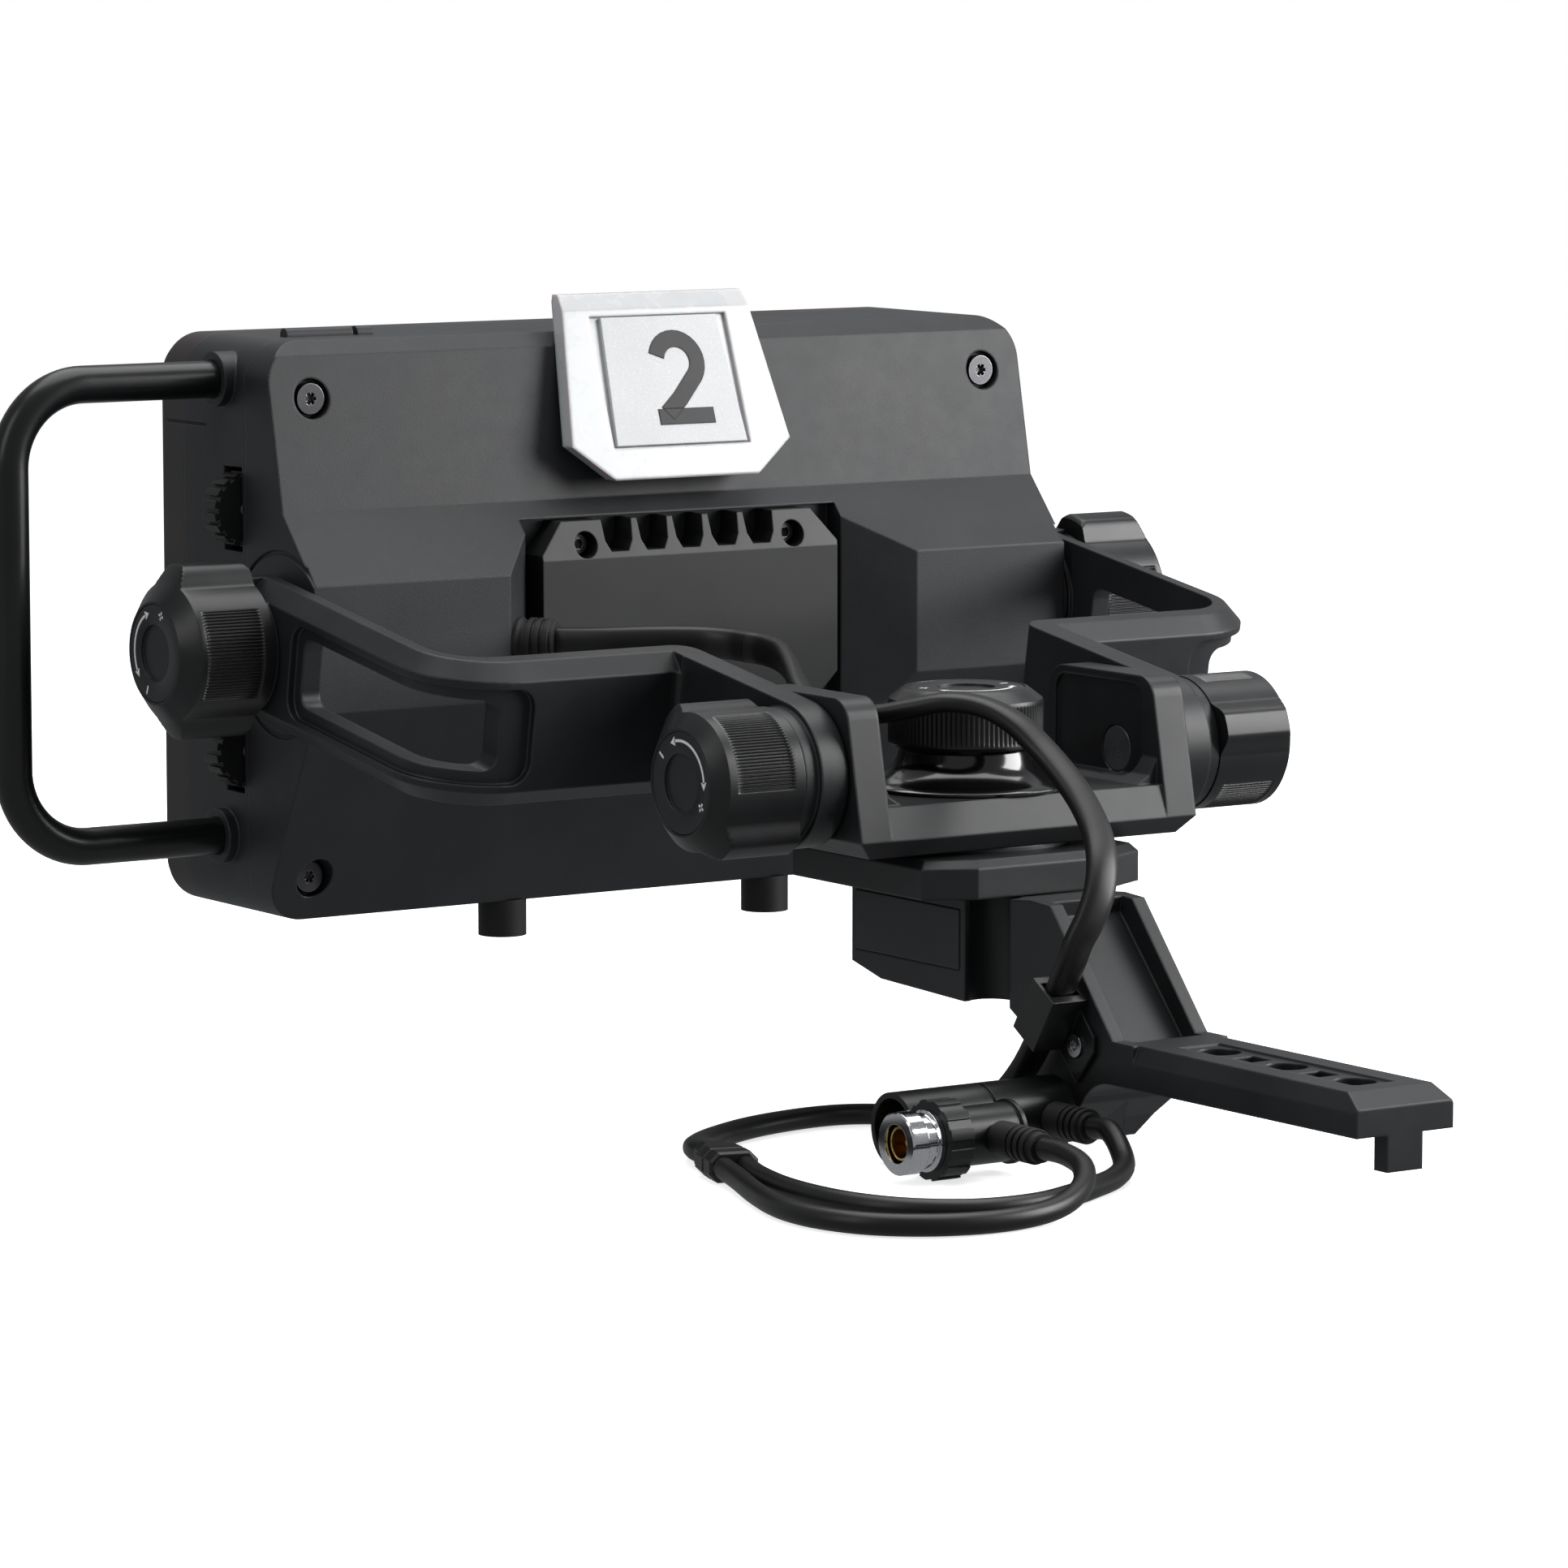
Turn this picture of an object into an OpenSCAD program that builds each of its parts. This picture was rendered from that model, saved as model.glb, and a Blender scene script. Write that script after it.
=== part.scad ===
// Studio monitor viewfinder on a pan and tilt link bracket.
// The operator looks at the screen from -Y. The tally lamp, the vent plate and the foot face +Y.
// All modules are drawn with the pan axis on X = 0, Y = 0 and the claw tips on Z = 0.
// rig() then moves them so that the middle screw hole of the foot is the origin.

/* [Housing] */
// Width of the display housing
housing_w = 248; // [236:1:256]
// Height of the display housing
housing_h = 158; // [150:1:160]
// Radius of the housing's four corners
housing_r = 12; // [8:1:16]
// Wall thickness of the mouldings
wall = 2.6; // [2:0.1:3.2]
// Width of the display glass
glass_w = 224; // [200:1:228]
// Height of the display glass
glass_h = 132; // [120:1:136]

/* [Pivots] */
// Distance between the two pivots of a link arm
arm_len = 151; // [148:1:154]
// Angle by which the arms slope down towards the foot
arm_slope = 9.3; // [8:0.1:10]
// Height of the arm strip
arm_h = 38.5; // [36:0.5:40]
// Diameter of the pivot studs
stud_d = 8; // [7:0.5:9]
// Radial running clearance on the studs
run_gap = 0.05; // [0.02:0.01:0.1]

/* [Knobs] */
// Diameter of a friction knob's ribbed body
knob_d = 38; // [36:0.5:40]
// Distance across a friction knob's two grip lobes
knob_lobe_d = 47; // [45:0.5:48]
// Diameter of a lower pivot knob's ribbed body
pivot_knob_d = 36; // [34:0.5:38]
// Distance across a lower pivot knob's two grip lobes
pivot_lobe_d = 43; // [40:0.5:45]
// Length of a friction knob
knob_len = 26.5; // [24:0.5:28]
// Diameter of the pan knob
pan_knob_d = 41; // [38:0.5:43]

/* [Foot] */
// Width of the foot bar
bar_w = 30; // [28:1:32]
// Distance between the screw holes in the bar
hole_pitch = 27; // [26:0.5:28]
// Diameter of the through holes for 1/4 inch screws
hole_d = 6.6; // [6.4:0.1:7]
// Diameter of the counterbores
bore_d = 11.3; // [10:0.1:12]

/* [Cables] */
// Width of the flat main cable
flat_w = 8.4; // [7:0.2:9]
// Thickness of the flat main cable
flat_t = 5.2; // [4:0.2:5.4]
// Diameter of the two round leads
lead_d = 5.6; // [5:0.2:6]

/* [Hidden] */
$fn = 48;

// Foot
bar_bottom = 19;
bar_top = 29.6;
bar_end = 184;
hole_mid = 137;
cradle_w = 40;
cradle_rear = -23.4;
flange_t = 4;

// Pan stack
plate_z = 60.6;
plate_edge = 68.5;
plate_top = 70.6;
yoke_z = 72;
yoke_floor = 85;
yoke_half = 53.5;
yoke_front = 29.7;
ear_in = 44;
ear_top = 113;
knob_z = 96;
knob_top = 111.4;
bolt_in = 45.4;

// Pivots
pivot_y = 5.4;
pivot_z = 92.5;
tilt_y = pivot_y - arm_len * cos(arm_slope);
tilt_z = pivot_z + arm_len * sin(arm_slope);
arm_in = 54.2;
arm_t = 8;
seg_y0 = 91;
seg_y1 = 101;
boss_out = 66.2;
tilt_boss_in = 125.9;
tilt_boss_out = 136.2;
stud_r = stud_d / 2;
bore_r = stud_r + run_gap;

// Housing
top_z = 198;
bottom_z = top_z - housing_h;
mid_z = (top_z + bottom_z) / 2;
side_x = housing_w / 2;
bezel_y = -211;
bezel_back = -196.5;
mid_front = -196.5;
mid_back = -162.4;
rear_front = -162.4;
foot_y = -161;
peg_y = -159.6;
wheel_x = 122;
wheel_r = 10.2;
wheel_z = [152, 119, 86];
screw_z = [52, 182.5];
screw_top = -152.3;
screw_low = -155.3;

// Tally lamp: lean of its face, and the corners of its outline
tally_lean = 20.1;
tally_face = [[-30.2, 208], [30.2, 208], [35.9, 167], [23.5, 157.5], [-23.5, 157.5], [-35.9, 167]];

// Plugs
power_z = 9.5;
power_y = 66;
bnc_x = 48;
bnc_y = 87;
bnc_z = 10.3;

// Cable routes: points in the order that the cable runs, from the display to the plugs.
// Each has a direction that the cable's flat side faces.
tilt_route = [[49.92, -122.21, 115.3], [46.6, -118.4, 115.3], [40, -111.5, 115.6], [32.5, -105.5, 115.9],
    [25, -100, 116], [19, -94.5, 115.9], [15.2, -88, 115.6], [14, -82, 115.3]];
tilt_ups = [[0.75, 0.66, 0], [0.75, 0.66, 0], [0.7, 0.7, 0], [0.7, 0.75, 0], [0.75, 0.7, 0],
    [0.85, 0.5, 0], [1, 0.25, 0], [1, 0.1, 0]];
arm_route = [[14, -82, 115.3], [12.8, -76, 115], [14.5, -66, 114.3], [19, -55, 113], [24.5, -43.5, 111],
    [29.5, -33, 109], [32, -26, 107.8], [33, -19, 107.2]];
arm_ups = [[1, 0.1, 0], [1, 0, 0], [1, -0.1, -0.1], [0.9, -0.2, -0.3], [0.8, -0.2, -0.45],
    [0.6, -0.2, -0.7], [0.4, -0.1, -0.85], [0.2, 0, -1]];
pan_route = [[33, -19, 107.2], [34, -12, 106.6], [34, -3, 106.1], [31.5, 5, 106.3], [26.5, 13, 108.3],
    [20.5, 21, 110.3], [14.5, 28.5, 109.3], [10, 36, 105.5], [7, 43.5, 99.5], [5.6, 52, 93], [5.4, 60, 86.5],
    [7, 68, 79.5], [10.5, 74.5, 73.2], [14, 78, 66.5], [17.4, 78.7, 60], [20, 77.6, 54.5], [20.8, 75.8, 49.3],
    [20.8, 71.5, 42.5]];
pan_ups = [[0.2, 0, -1], [0.1, 0, -1], [0, 0, -1], [0, 0, -1], [0, 0, -1], [0, 0, -1], [0, -0.1, -1],
    [0, -0.3, -0.9], [0, -0.5, -0.8], [0, -0.6, -0.8], [0, -0.65, -0.75], [0, -0.7, -0.7], [0, -0.8, -0.6],
    [0, -0.9, -0.4], [0, -1, -0.1], [0, -1, 0.15], [0, -0.9, 0.4], [0, -0.85, 0.53]];
floor_route = [[20.8, 71.45, 42.42], [20.8, 62, 27.5], [21.5, 55, 18], [23, 47, 10.5], [25.5, 37, 5],
    [29.5, 25, 2.9], [35, 14, 2.8], [44, 8, 2.8], [57, 7, 2.8], [74, 10.5, 2.8], [90, 18, 2.8],
    [102, 28.5, 3.4], [107.6, 37.6, 4], [109.41, 44.34, 4]];
floor_ups = [[0, -0.85, 0.53], [0, -0.83, 0.55], [0, -0.75, 0.65], [0, -0.6, 0.8], [0, -0.3, 0.95],
    [0, 0, 1], [0, 0, 1], [0, 0, 1], [0, 0, 1], [0, 0, 1], [0, 0, 1], [0, 0, 1], [0, 0, 1], [0, 0, 1]];
bnc_route = [[117.28, 62.11, 4.1], [120.2, 73, 3.4], [127, 92, 3], [132, 110, 3], [131.5, 126, 3],
    [125, 140, 3], [112, 149.8, 3], [95, 153, 3], [79, 150, 3.8], [66, 142, 6.3], [58.5, 132, 9],
    [56, 121, 10.3], [56, 112, 10.3]];
power_route = [[111.48, 63.66, 4.1], [114.2, 74, 3.4], [116.5, 92, 3], [115, 112, 3], [108, 127.5, 3],
    [95, 138, 3], [79, 140, 3], [65, 135.5, 3], [52.4, 129.1, 3], [40, 121, 3], [31, 112, 4.5],
    [25.5, 99, 9.5], [25.5, 91, 9.5]];

function unit(v) = v / norm(v);
function mix(a, b, t) = a * (1 - t) + b * t;
function at(p, i) = p[max(0, min(len(p) - 1, i))];
function heading(p, i) = unit(at(p, i + 1) - at(p, i - 1));
function arc(c, r, a0, a1, n) = [for (i = [0:n]) c + r * [cos(mix(a0, a1, i / n)), sin(mix(a0, a1, i / n))]];

module rig() translate([0, -hole_mid, -bar_bottom]) children();

// A tube of oval section along a list of points. ups gives the way its flat side faces.
module tube(path, ups, w, t, sides = 8) {
    n = len(path);
    rings = [for (i = [0:n - 1]) let (
        d = heading(path, i),
        side = unit(cross(d, ups[i])),
        up = cross(side, d))
        for (k = [0:sides - 1]) path[i] + side * cos((k + 0.5) * 360 / sides) * w / 2
            + up * sin((k + 0.5) * 360 / sides) * t / 2];
    polyhedron(rings, concat(
        [[for (k = [0:sides - 1]) k]],
        [for (i = [0:n - 2], k = [0:sides - 1]) let (j = (k + 1) % sides)
            [i * sides + k, (i + 1) * sides + k, (i + 1) * sides + j, i * sides + j]],
        [[for (k = [sides - 1:-1:0]) (n - 1) * sides + k]]));
}

// A rectangle with true round corners, centred
module round_rect(w, h, r) {
    square([w - 2 * r, h], center = true);
    square([w, h - 2 * r], center = true);
    for (x = [-1, 1], z = [-1, 1]) translate([x * (w / 2 - r), z * (h / 2 - r)]) circle(r);
}

// The housing's outline, inset all round, from y0 back to y1
module housing_slab(y0, y1, inset = 0) {
    translate([0, y1, mid_z]) rotate([90, 0, 0]) linear_extrude(y1 - y0)
        round_rect(housing_w - 2 * inset, housing_h - 2 * inset, housing_r - inset);
}

// An outline drawn in Y and Z, from x0 to x1
module side_cut(points, x0, x1) {
    translate([x0, 0, 0]) rotate([90, 0, 90]) linear_extrude(x1 - x0) polygon(points);
}

// A shape drawn on Z, turned to point out to one side along X at the given place
module out_at(side, x, y, z) {
    translate([side * x, y, z]) rotate([0, side * 90, 0]) children();
}

// A six-lobed driver socket
module star_socket(d, deep) {
    translate([0, 0, -deep]) linear_extrude(deep + 1) for (a = [0:60:119]) rotate(a) {
        circle(d * 0.33);
        square([d, d * 0.3], center = true);
        rotate(120) square([d, d * 0.3], center = true);
    }
}

// ---- Foot ----

module foot_outline() {
    polygon(concat(
        [[cradle_rear, 37.5], [-10, 34.2], [41, 32.5], [47, 29], [50, 14], [53, 0], [61, 0], [66, 6]],
        arc([84, 5], 13.5, 150, 90, 6),
        [[bar_end, bar_bottom], [bar_end, bar_top], [85.5, bar_top], [58.5, 61], [50, 61.5], [27, 59.5],
            [cradle_rear, 59.5]]));
}

module foot_holes() {
    for (k = [-1, 0, 1]) translate([0, hole_mid + k * hole_pitch, 0]) {
        translate([0, 0, bar_bottom - 1]) cylinder(d = hole_d, h = 20);
        translate([0, 0, bar_top - 6]) cylinder(d = bore_d, h = 10);
    }
    for (k = [-0.5, 0.5]) translate([0, hole_mid + k * hole_pitch, bar_top])
        cube([6.5, 8, 6], center = true);
    translate([-bore_d / 2 - 0.6, hole_mid - hole_pitch - 8, bar_top - 0.6])
        cube([bore_d + 1.2, 2 * hole_pitch + 16, 2]);
}

module foot_bracket() {
    color("#26292d") rig() difference() {
        union() {
            translate([-cradle_w / 2, 0, 0]) rotate([90, 0, 90]) linear_extrude(cradle_w) foot_outline();
            translate([-5.5, bar_end - 5, bar_bottom - 9.2]) cube([11, 5, 12]);
        }
        // the arms of the foot are narrower than the cradle
        for (s = [-1, 1]) translate([s * (bar_w / 2 + 10), 0, 0]) {
            translate([-10, 62, -1]) cube([20, 140, 70]);
            translate([-10, 28, -1]) cube([20, 40, 70]);
            translate([-10, 40, -1]) mirror([s < 0 ? 1 : 0, 0, 0]) translate([0, -6, 0]) cylinder(r = 7, h = 70);
        }
        // bevels along the bar's top edges and its free end
        for (s = [0, 1]) mirror([s, 0, 0])
            translate([0, 200, 0]) rotate([90, 0, 0]) linear_extrude(106)
                polygon([[13, 31], [13, bar_top], [15, 25.2], [16, 25.2], [16, 31]]);
        side_cut([[177, 30.2], [bar_end, 26], [190, 26], [190, 31], [177, 31]], -20, 20);
        // open channel between the two flanges of the diagonal leg
        side_cut([[56, 70], [53.5, 57], [81, 27], [89, 27], [89, 34], [73, 70]],
            -bar_w / 2 + flange_t, bar_w / 2 - flange_t);
        // the V notch that parts the two claws, and the slope of their outer edges
        translate([0, 80, 0]) rotate([90, 0, 0]) linear_extrude(40) polygon([[-7.2, -1], [0, 11.7], [7.2, -1]]);
        for (s = [0, 1]) mirror([s, 0, 0]) translate([0, 80, 0]) rotate([90, 0, 0]) linear_extrude(40)
            polygon([[10.6, -1], [10.6, 0], [16, 13], [30, 13], [30, -1]]);
        // seat and travel of the quick release button, and the screw in the flange
        translate([cradle_w / 2 - 7, -21.6, 40.8]) cube([10, 47.4, 16]);
        translate([-1, 1.4, 48.8]) rotate([0, 90, 0]) cylinder(d = 6.1, h = 20);
        out_at(1, 6, 71.7, 27) cylinder(d = 3, h = 20);
        // seat for the plate above, with its four corner bosses left standing
        translate([-13, -18, 55]) cube([26, 40, 10]);
        foot_holes();
    }
}

module quick_release() {
    color("#2b2e33") rig() {
        translate([15, -21.4, 41]) cube([5.2, 47, 15.6]);
        translate([6, 1.4, 48.8]) rotate([0, 90, 0]) cylinder(d = 6, h = 10);
    }
}

clip_lean = 32.3;
module cable_clip() {
    color("#1c1e21") rig() difference() {
        union() {
            translate([20.8, 66.75, 35]) rotate([-clip_lean, 0, 0])
                translate([-5.8, -5.2, -8]) cube([11.2, 10.4, 16]);
            translate([15, 71.7, 27]) rotate([90, 0, 90]) linear_extrude(1.4)
                polygon([[-7, -2], [0, -9.5], [7.5, -1], [7.5, 3], [2, 9], [-7, 4]]);
        }
        translate([20.8, 66.75, 35]) rotate([-clip_lean, 0, 0])
            translate([-flat_w / 2 - 0.2, -flat_t / 2 - 0.2, -12]) cube([flat_w + 0.4, flat_t + 0.4, 24]);
        out_at(1, 10, 71.7, 27) cylinder(d = 3.1, h = 20);
        out_at(1, 15.4, 71.7, 27) cylinder(d = 6.4, h = 20);
    }
}

module clip_screw() {
    color("#b9bcc0") rig() out_at(1, 6.2, 71.7, 27) difference() {
        union() {
            cylinder(d = 2.9, h = 10);
            translate([0, 0, 9.3]) cylinder(d = 6, h = 1.6);
        }
        translate([0, 0, 10.9]) star_socket(2.6, 1);
    }
}

// ---- Pan stack ----

module pan_outline(inset) {
    x = 34.7 - inset;
    y = 36.3 - inset;
    cx = 13;
    cy = 6.8;
    polygon([[x, -y + cy], [x, y - cy], [x - cx, y], [-x + cx, y], [-x, y - cy], [-x, -y + cy], [-x + cx, -y],
        [x - cx, -y]]);
}

module pan_base() {
    color("#24272b") rig() difference() {
        union() {
            translate([0, 0, plate_z]) linear_extrude(plate_edge - plate_z) pan_outline(0);
            translate([0, 0, plate_edge]) linear_extrude(plate_top - plate_edge, scale = 0.945) pan_outline(0);
            // the dovetail that drops into the cradle
            translate([-12.8, -17.8, 55.2]) cube([25.6, 39.6, 6]);
        }
        translate([0, 0, 50]) cylinder(d = 10.2, h = 30);
        translate([0, 0, 50]) cylinder(d = 17, h = 10);
    }
}

module pan_washer() {
    color("#3a3d40") rig() translate([0, 0, plate_top]) difference() {
        cylinder(d = 54, h = 1.3);
        translate([0, 0, -1]) cylinder(d = 12, h = 3);
    }
}

module pan_bolt() {
    color("#8f9296") rig() {
        translate([0, 0, 55.4]) cylinder(d = 16, h = 4.5);
        translate([0, 0, 55.4]) cylinder(d = 10, h = 50);
    }
}

module friction_dish() {
    color("#0c0d0e") rig() difference() {
        translate([0, 0, yoke_floor]) rotate_extrude() polygon([[0, 0], [28, 0], [28, 1.6], [22.5, 3.2],
            [18.6, 6.2], [17.6, 10.2], [0, 10.2]]);
        translate([0, 0, 70]) cylinder(r = 5 + run_gap, h = 40);
    }
}

module pan_knob() {
    color("#1a1c1f") rig() difference() {
        translate([0, 0, knob_z]) rotate_extrude() polygon([[0, 0], [pan_knob_d / 2 - 1, 0],
            [pan_knob_d / 2, 1], [pan_knob_d / 2, 12.6], [pan_knob_d / 2 - 4.2, knob_top - knob_z],
            [0, knob_top - knob_z]]);
        translate([0, 0, 90]) cylinder(r = 5 + run_gap, h = 16);
        translate([0, 0, knob_top - 2]) cylinder(d = 31, h = 5);
    }
}

module pan_knob_cap() {
    color("#202327") rig() difference() {
        translate([0, 0, knob_top - 2]) cylinder(d = 30.8, h = 1.9);
        translate([0, 0, knob_top - 1]) cylinder(d = 15.4, h = 3);
    }
}

module ear_outline() {
    // the ear's side view: a wide foot, a slanting front edge and a flat top with round corners
    polygon(concat([[-26.7, yoke_z], [yoke_front - 3, yoke_z], [yoke_front, 76.5]],
        arc([17, ear_top - 6.5], 6.5, 12, 90, 8), arc([-17, ear_top - 6.5], 6.5, 90, 168, 8),
        [[-yoke_front, 76.5]]));
}

module yoke() {
    color("#26292d") rig() difference() {
        union() {
            // floor with bevelled front and rear lips
            side_cut([[-yoke_front + 3, yoke_z], [yoke_front - 3, yoke_z], [yoke_front, 76.5],
                [27, yoke_floor], [-27, yoke_floor], [-yoke_front, 76.5]], -yoke_half, yoke_half);
            for (s = [-1, 1]) translate([s > 0 ? ear_in : -yoke_half, 0, 0])
                rotate([90, 0, 90]) linear_extrude(yoke_half - ear_in) ear_outline();
            // small fillets between the floor and the ears
            for (s = [0, 1]) mirror([s, 0, 0]) translate([0, 25, 0]) rotate([90, 0, 0]) linear_extrude(50)
                polygon([[36, yoke_floor - 1], [ear_in + 1, yoke_floor - 1], [ear_in + 1, 92], [ear_in, 92],
                    [41.6, 87.4]]);
        }
        translate([0, 0, 60]) cylinder(r = 5 + run_gap, h = 40);
        for (s = [-1, 1]) {
            out_at(s, 30, pivot_y, pivot_z) cylinder(r = stud_r, h = 40);
            // recess for the head of the pivot bolt
            out_at(s, 38, pivot_y, pivot_z) cylinder(d = 12.6, h = bolt_in + 2 - 38);
            // shallow pocket with round corners on the ear's inner face
            out_at(s, ear_in - 4, -1, 98.6) linear_extrude(5.2) round_rect(24.6, 39, 5);
        }
        // bevel along the outer bottom edges
        for (s = [0, 1]) mirror([s, 0, 0]) translate([0, 40, 0]) rotate([90, 0, 0]) linear_extrude(80)
            polygon([[48, 71], [60, 71], [60, 78], [yoke_half, 76.5]]);
    }
}

module pivot_bolts() {
    color("#8f9296") rig() for (s = [-1, 1]) out_at(s, bolt_in, pivot_y, pivot_z) {
        cylinder(r = stud_r, h = 40.8);
        cylinder(d = 12, h = 1.8);
    }
}

// ---- Link arms: drawn along the arm, with the tilt pivot on the origin ----

arm_x0 = 127;
arm_x1 = arm_x0 + arm_t;
corner_r = 24;
edge_cut = 4.5;
step_deep = 2.2;
module arm_plan() {
    polygon(concat([[arm_x0, -20], [arm_x1, -20]],
        arc([arm_x1 - corner_r, seg_y1 - corner_r], corner_r, 0, 90, 12),
        arc([arm_in + arm_t + 2.5, seg_y1 + 2.5], 2.5, -90, -180, 3),
        [[arm_in + arm_t, 171], [arm_in, 171]],
        arc([arm_in + 6, seg_y0 + 6], 6, 180, 270, 4),
        arc([arm_x0 - 14, seg_y0 - 14], 14, 90, 0, 8)));
}

// The triangle that is cut away along an outer edge, with the outer face at distance r
module edge_triangle(r) {
    polygon([[r - edge_cut, arm_h / 2], [r, arm_h / 2 - edge_cut], [r + 1, arm_h / 2 - edge_cut],
        [r + 1, arm_h / 2 + 1], [r - edge_cut, arm_h / 2 + 1]]);
}

module arm_edges() {
    for (m = [0, 1]) mirror([0, 0, m]) {
        translate([0, seg_y1 - corner_r, 0]) rotate([90, 0, 0]) linear_extrude(seg_y1 - corner_r)
            edge_triangle(arm_x1);
        translate([arm_x1 - corner_r, seg_y1 - corner_r, 0]) rotate_extrude(angle = 90) edge_triangle(corner_r);
        translate([arm_in + arm_t, seg_y1, 0]) rotate([90, 0, 90])
            linear_extrude(arm_x1 - corner_r - arm_in - arm_t) edge_triangle(0);
    }
}

module arm_side(grow = 0) {
    translate([0, 0]) circle(arm_h / 2 - grow);
    translate([arm_len, 0]) circle(arm_h / 2 - grow);
    translate([0, -arm_h / 2 + grow]) square([arm_len, arm_h - 2 * grow]);
}

// The opening runs along the strip, round the corner and into the cross length.
// grow widens its outline and deep_x and deep_y set how far in it starts.
module arm_window(grow, deep_x, deep_y) {
    h = 19 + 2 * grow;
    y0 = 27 - grow;
    x0 = 115 - 2.6 * grow;
    r = 4 + grow / 2;
    translate([deep_x, 0, 0]) rotate([90, 0, 90]) linear_extrude(30)
        translate([(y0 + 110) / 2, 0]) round_rect(110 - y0, h, r);
    translate([0, deep_y + 30, 0]) rotate([90, 0, 0]) linear_extrude(30)
        translate([(x0 + 145) / 2, 0]) round_rect(145 - x0, h, r);
}

module link_arm() {
    translate([0, tilt_y, tilt_z]) rotate([-arm_slope, 0, 0]) difference() {
        union() {
            intersection() {
                translate([0, 0, -arm_h / 2]) linear_extrude(arm_h) arm_plan();
                translate([50, 0, 0]) rotate([90, 0, 90]) linear_extrude(100) arm_side();
            }
            translate([tilt_boss_in, 0, 0]) rotate([0, 90, 0])
                cylinder(d = arm_h - 3, h = tilt_boss_out - tilt_boss_in);
            translate([arm_in, arm_len, 0]) rotate([0, 90, 0]) cylinder(d = arm_h - 3, h = boss_out - arm_in);
        }
        arm_edges();
        arm_window(0, 120, 80);
        // the shallow step round the opening, on the outer faces and round the corner
        arm_window(3.4, arm_x1 - step_deep, seg_y1 - step_deep);
        translate([arm_x1 - corner_r, seg_y1 - corner_r, -12.9]) rotate_extrude(angle = 90)
            translate([corner_r - step_deep, 0]) square([10, 25.8]);
        translate([100, 0, 0]) rotate([0, 90, 0]) cylinder(r = bore_r, h = 50);
        translate([40, arm_len, 0]) rotate([0, 90, 0]) cylinder(r = bore_r, h = 40);
    }
}

module link_arm_left() color("#26292d") rig() link_arm();
module link_arm_right() color("#26292d") rig() mirror([1, 0, 0]) link_arm();

// ---- Friction knobs: drawn standing on their base ----

module knob_outline(body_d, lobe_d) {
    lobe = lobe_d / 2;
    drop = (knob_d - body_d) / 2;
    circle(d = body_d);
    for (a = [0, 180]) rotate(a) polygon([[0, -12], [13.4 - drop, -12], [17.5 - drop, -8.4],
        [lobe - 3, -5.6], [lobe - 1, -4.4], [lobe, -3.4], [lobe, 3.4], [lobe - 1, 4.4], [lobe - 3, 5.6],
        [17.5 - drop, 8.4], [13.4 - drop, 12], [0, 12]]);
}

module knob(turn, body_d, lobe_d) rotate([0, 0, turn]) difference() {
    intersection() {
        linear_extrude(knob_len) knob_outline(body_d, lobe_d);
        rotate_extrude() polygon([[0, 0], [22.6, 0], [24, 1.4], [24, knob_len - 6.4], [19, knob_len - 4],
            [14.2, knob_len], [0, knob_len]]);
    }
    translate([0, 0, -1]) cylinder(r = bore_r, h = 21);
    translate([0, 0, knob_len - 2.4]) cylinder(d = 26.6, h = 5);
}

module knob_cap() translate([0, 0, knob_len - 2.4]) difference() {
    cylinder(d = 26.4, h = 2.3);
    translate([0, 0, 1.3]) cylinder(d = 15.4, h = 3);
}

module pivot_knob(side, turn) color("#1a1c1f") rig() out_at(side, boss_out + 0.2, pivot_y, pivot_z)
    knob(turn, pivot_knob_d, pivot_lobe_d);
module pivot_cap(side) color("#202327") rig() out_at(side, boss_out + 0.2, pivot_y, pivot_z) knob_cap();
module tilt_knob(side, turn) color("#1a1c1f") rig() out_at(side, tilt_boss_out + 0.2, tilt_y, tilt_z)
    knob(turn, knob_d, knob_lobe_d);
module tilt_cap(side) color("#202327") rig() out_at(side, tilt_boss_out + 0.2, tilt_y, tilt_z) knob_cap();

module tilt_studs() {
    color("#8f9296") rig() for (s = [-1, 1]) out_at(s, 114, tilt_y, tilt_z) {
        cylinder(r = stud_r, h = 42);
        cylinder(d = 16, h = side_x - 114 - wall - 0.2);
    }
}

module tilt_washers() {
    color("#3a3d40") rig() for (s = [-1, 1]) out_at(s, side_x, tilt_y, tilt_z) difference() {
        cylinder(d = 34, h = 1.7);
        translate([0, 0, -1]) cylinder(r = stud_r, h = 4);
    }
}

// ---- Display housing ----

module front_bezel() {
    color("#3a3430") rig() difference() {
        union() {
            housing_slab(bezel_y + 3, bezel_back);
            housing_slab(bezel_y, bezel_y + 4, 1.4);
        }
        // seat of the glass, the screen opening and the hollow behind it
        translate([0, bezel_y + 1, mid_z]) rotate([90, 0, 0]) linear_extrude(5, center = true)
            round_rect(glass_w, glass_h, 6);
        translate([-84, bezel_y - 5, mid_z - 54]) cube([168, 40, 108]);
        translate([-100, bezel_y + 6, mid_z - 64]) cube([200, 40, 128]);
        // parting line of the hood strip
        for (s = [-1, 1]) translate([s * side_x - 0.8, bezel_y - 1, 173.6]) cube([1.6, 30, 0.9]);
    }
}

module screen_glass() {
    color("#0b0c0e") rig() translate([0, bezel_y + 3.5, mid_z]) rotate([90, 0, 0]) linear_extrude(2.6)
        round_rect(glass_w - 0.4, glass_h - 0.4, 5.8);
}

module lcd_panel() {
    color("#14171b") rig() translate([-83, bezel_y + 3.5, mid_z - 53]) cube([166, 8.5, 106]);
}

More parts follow.
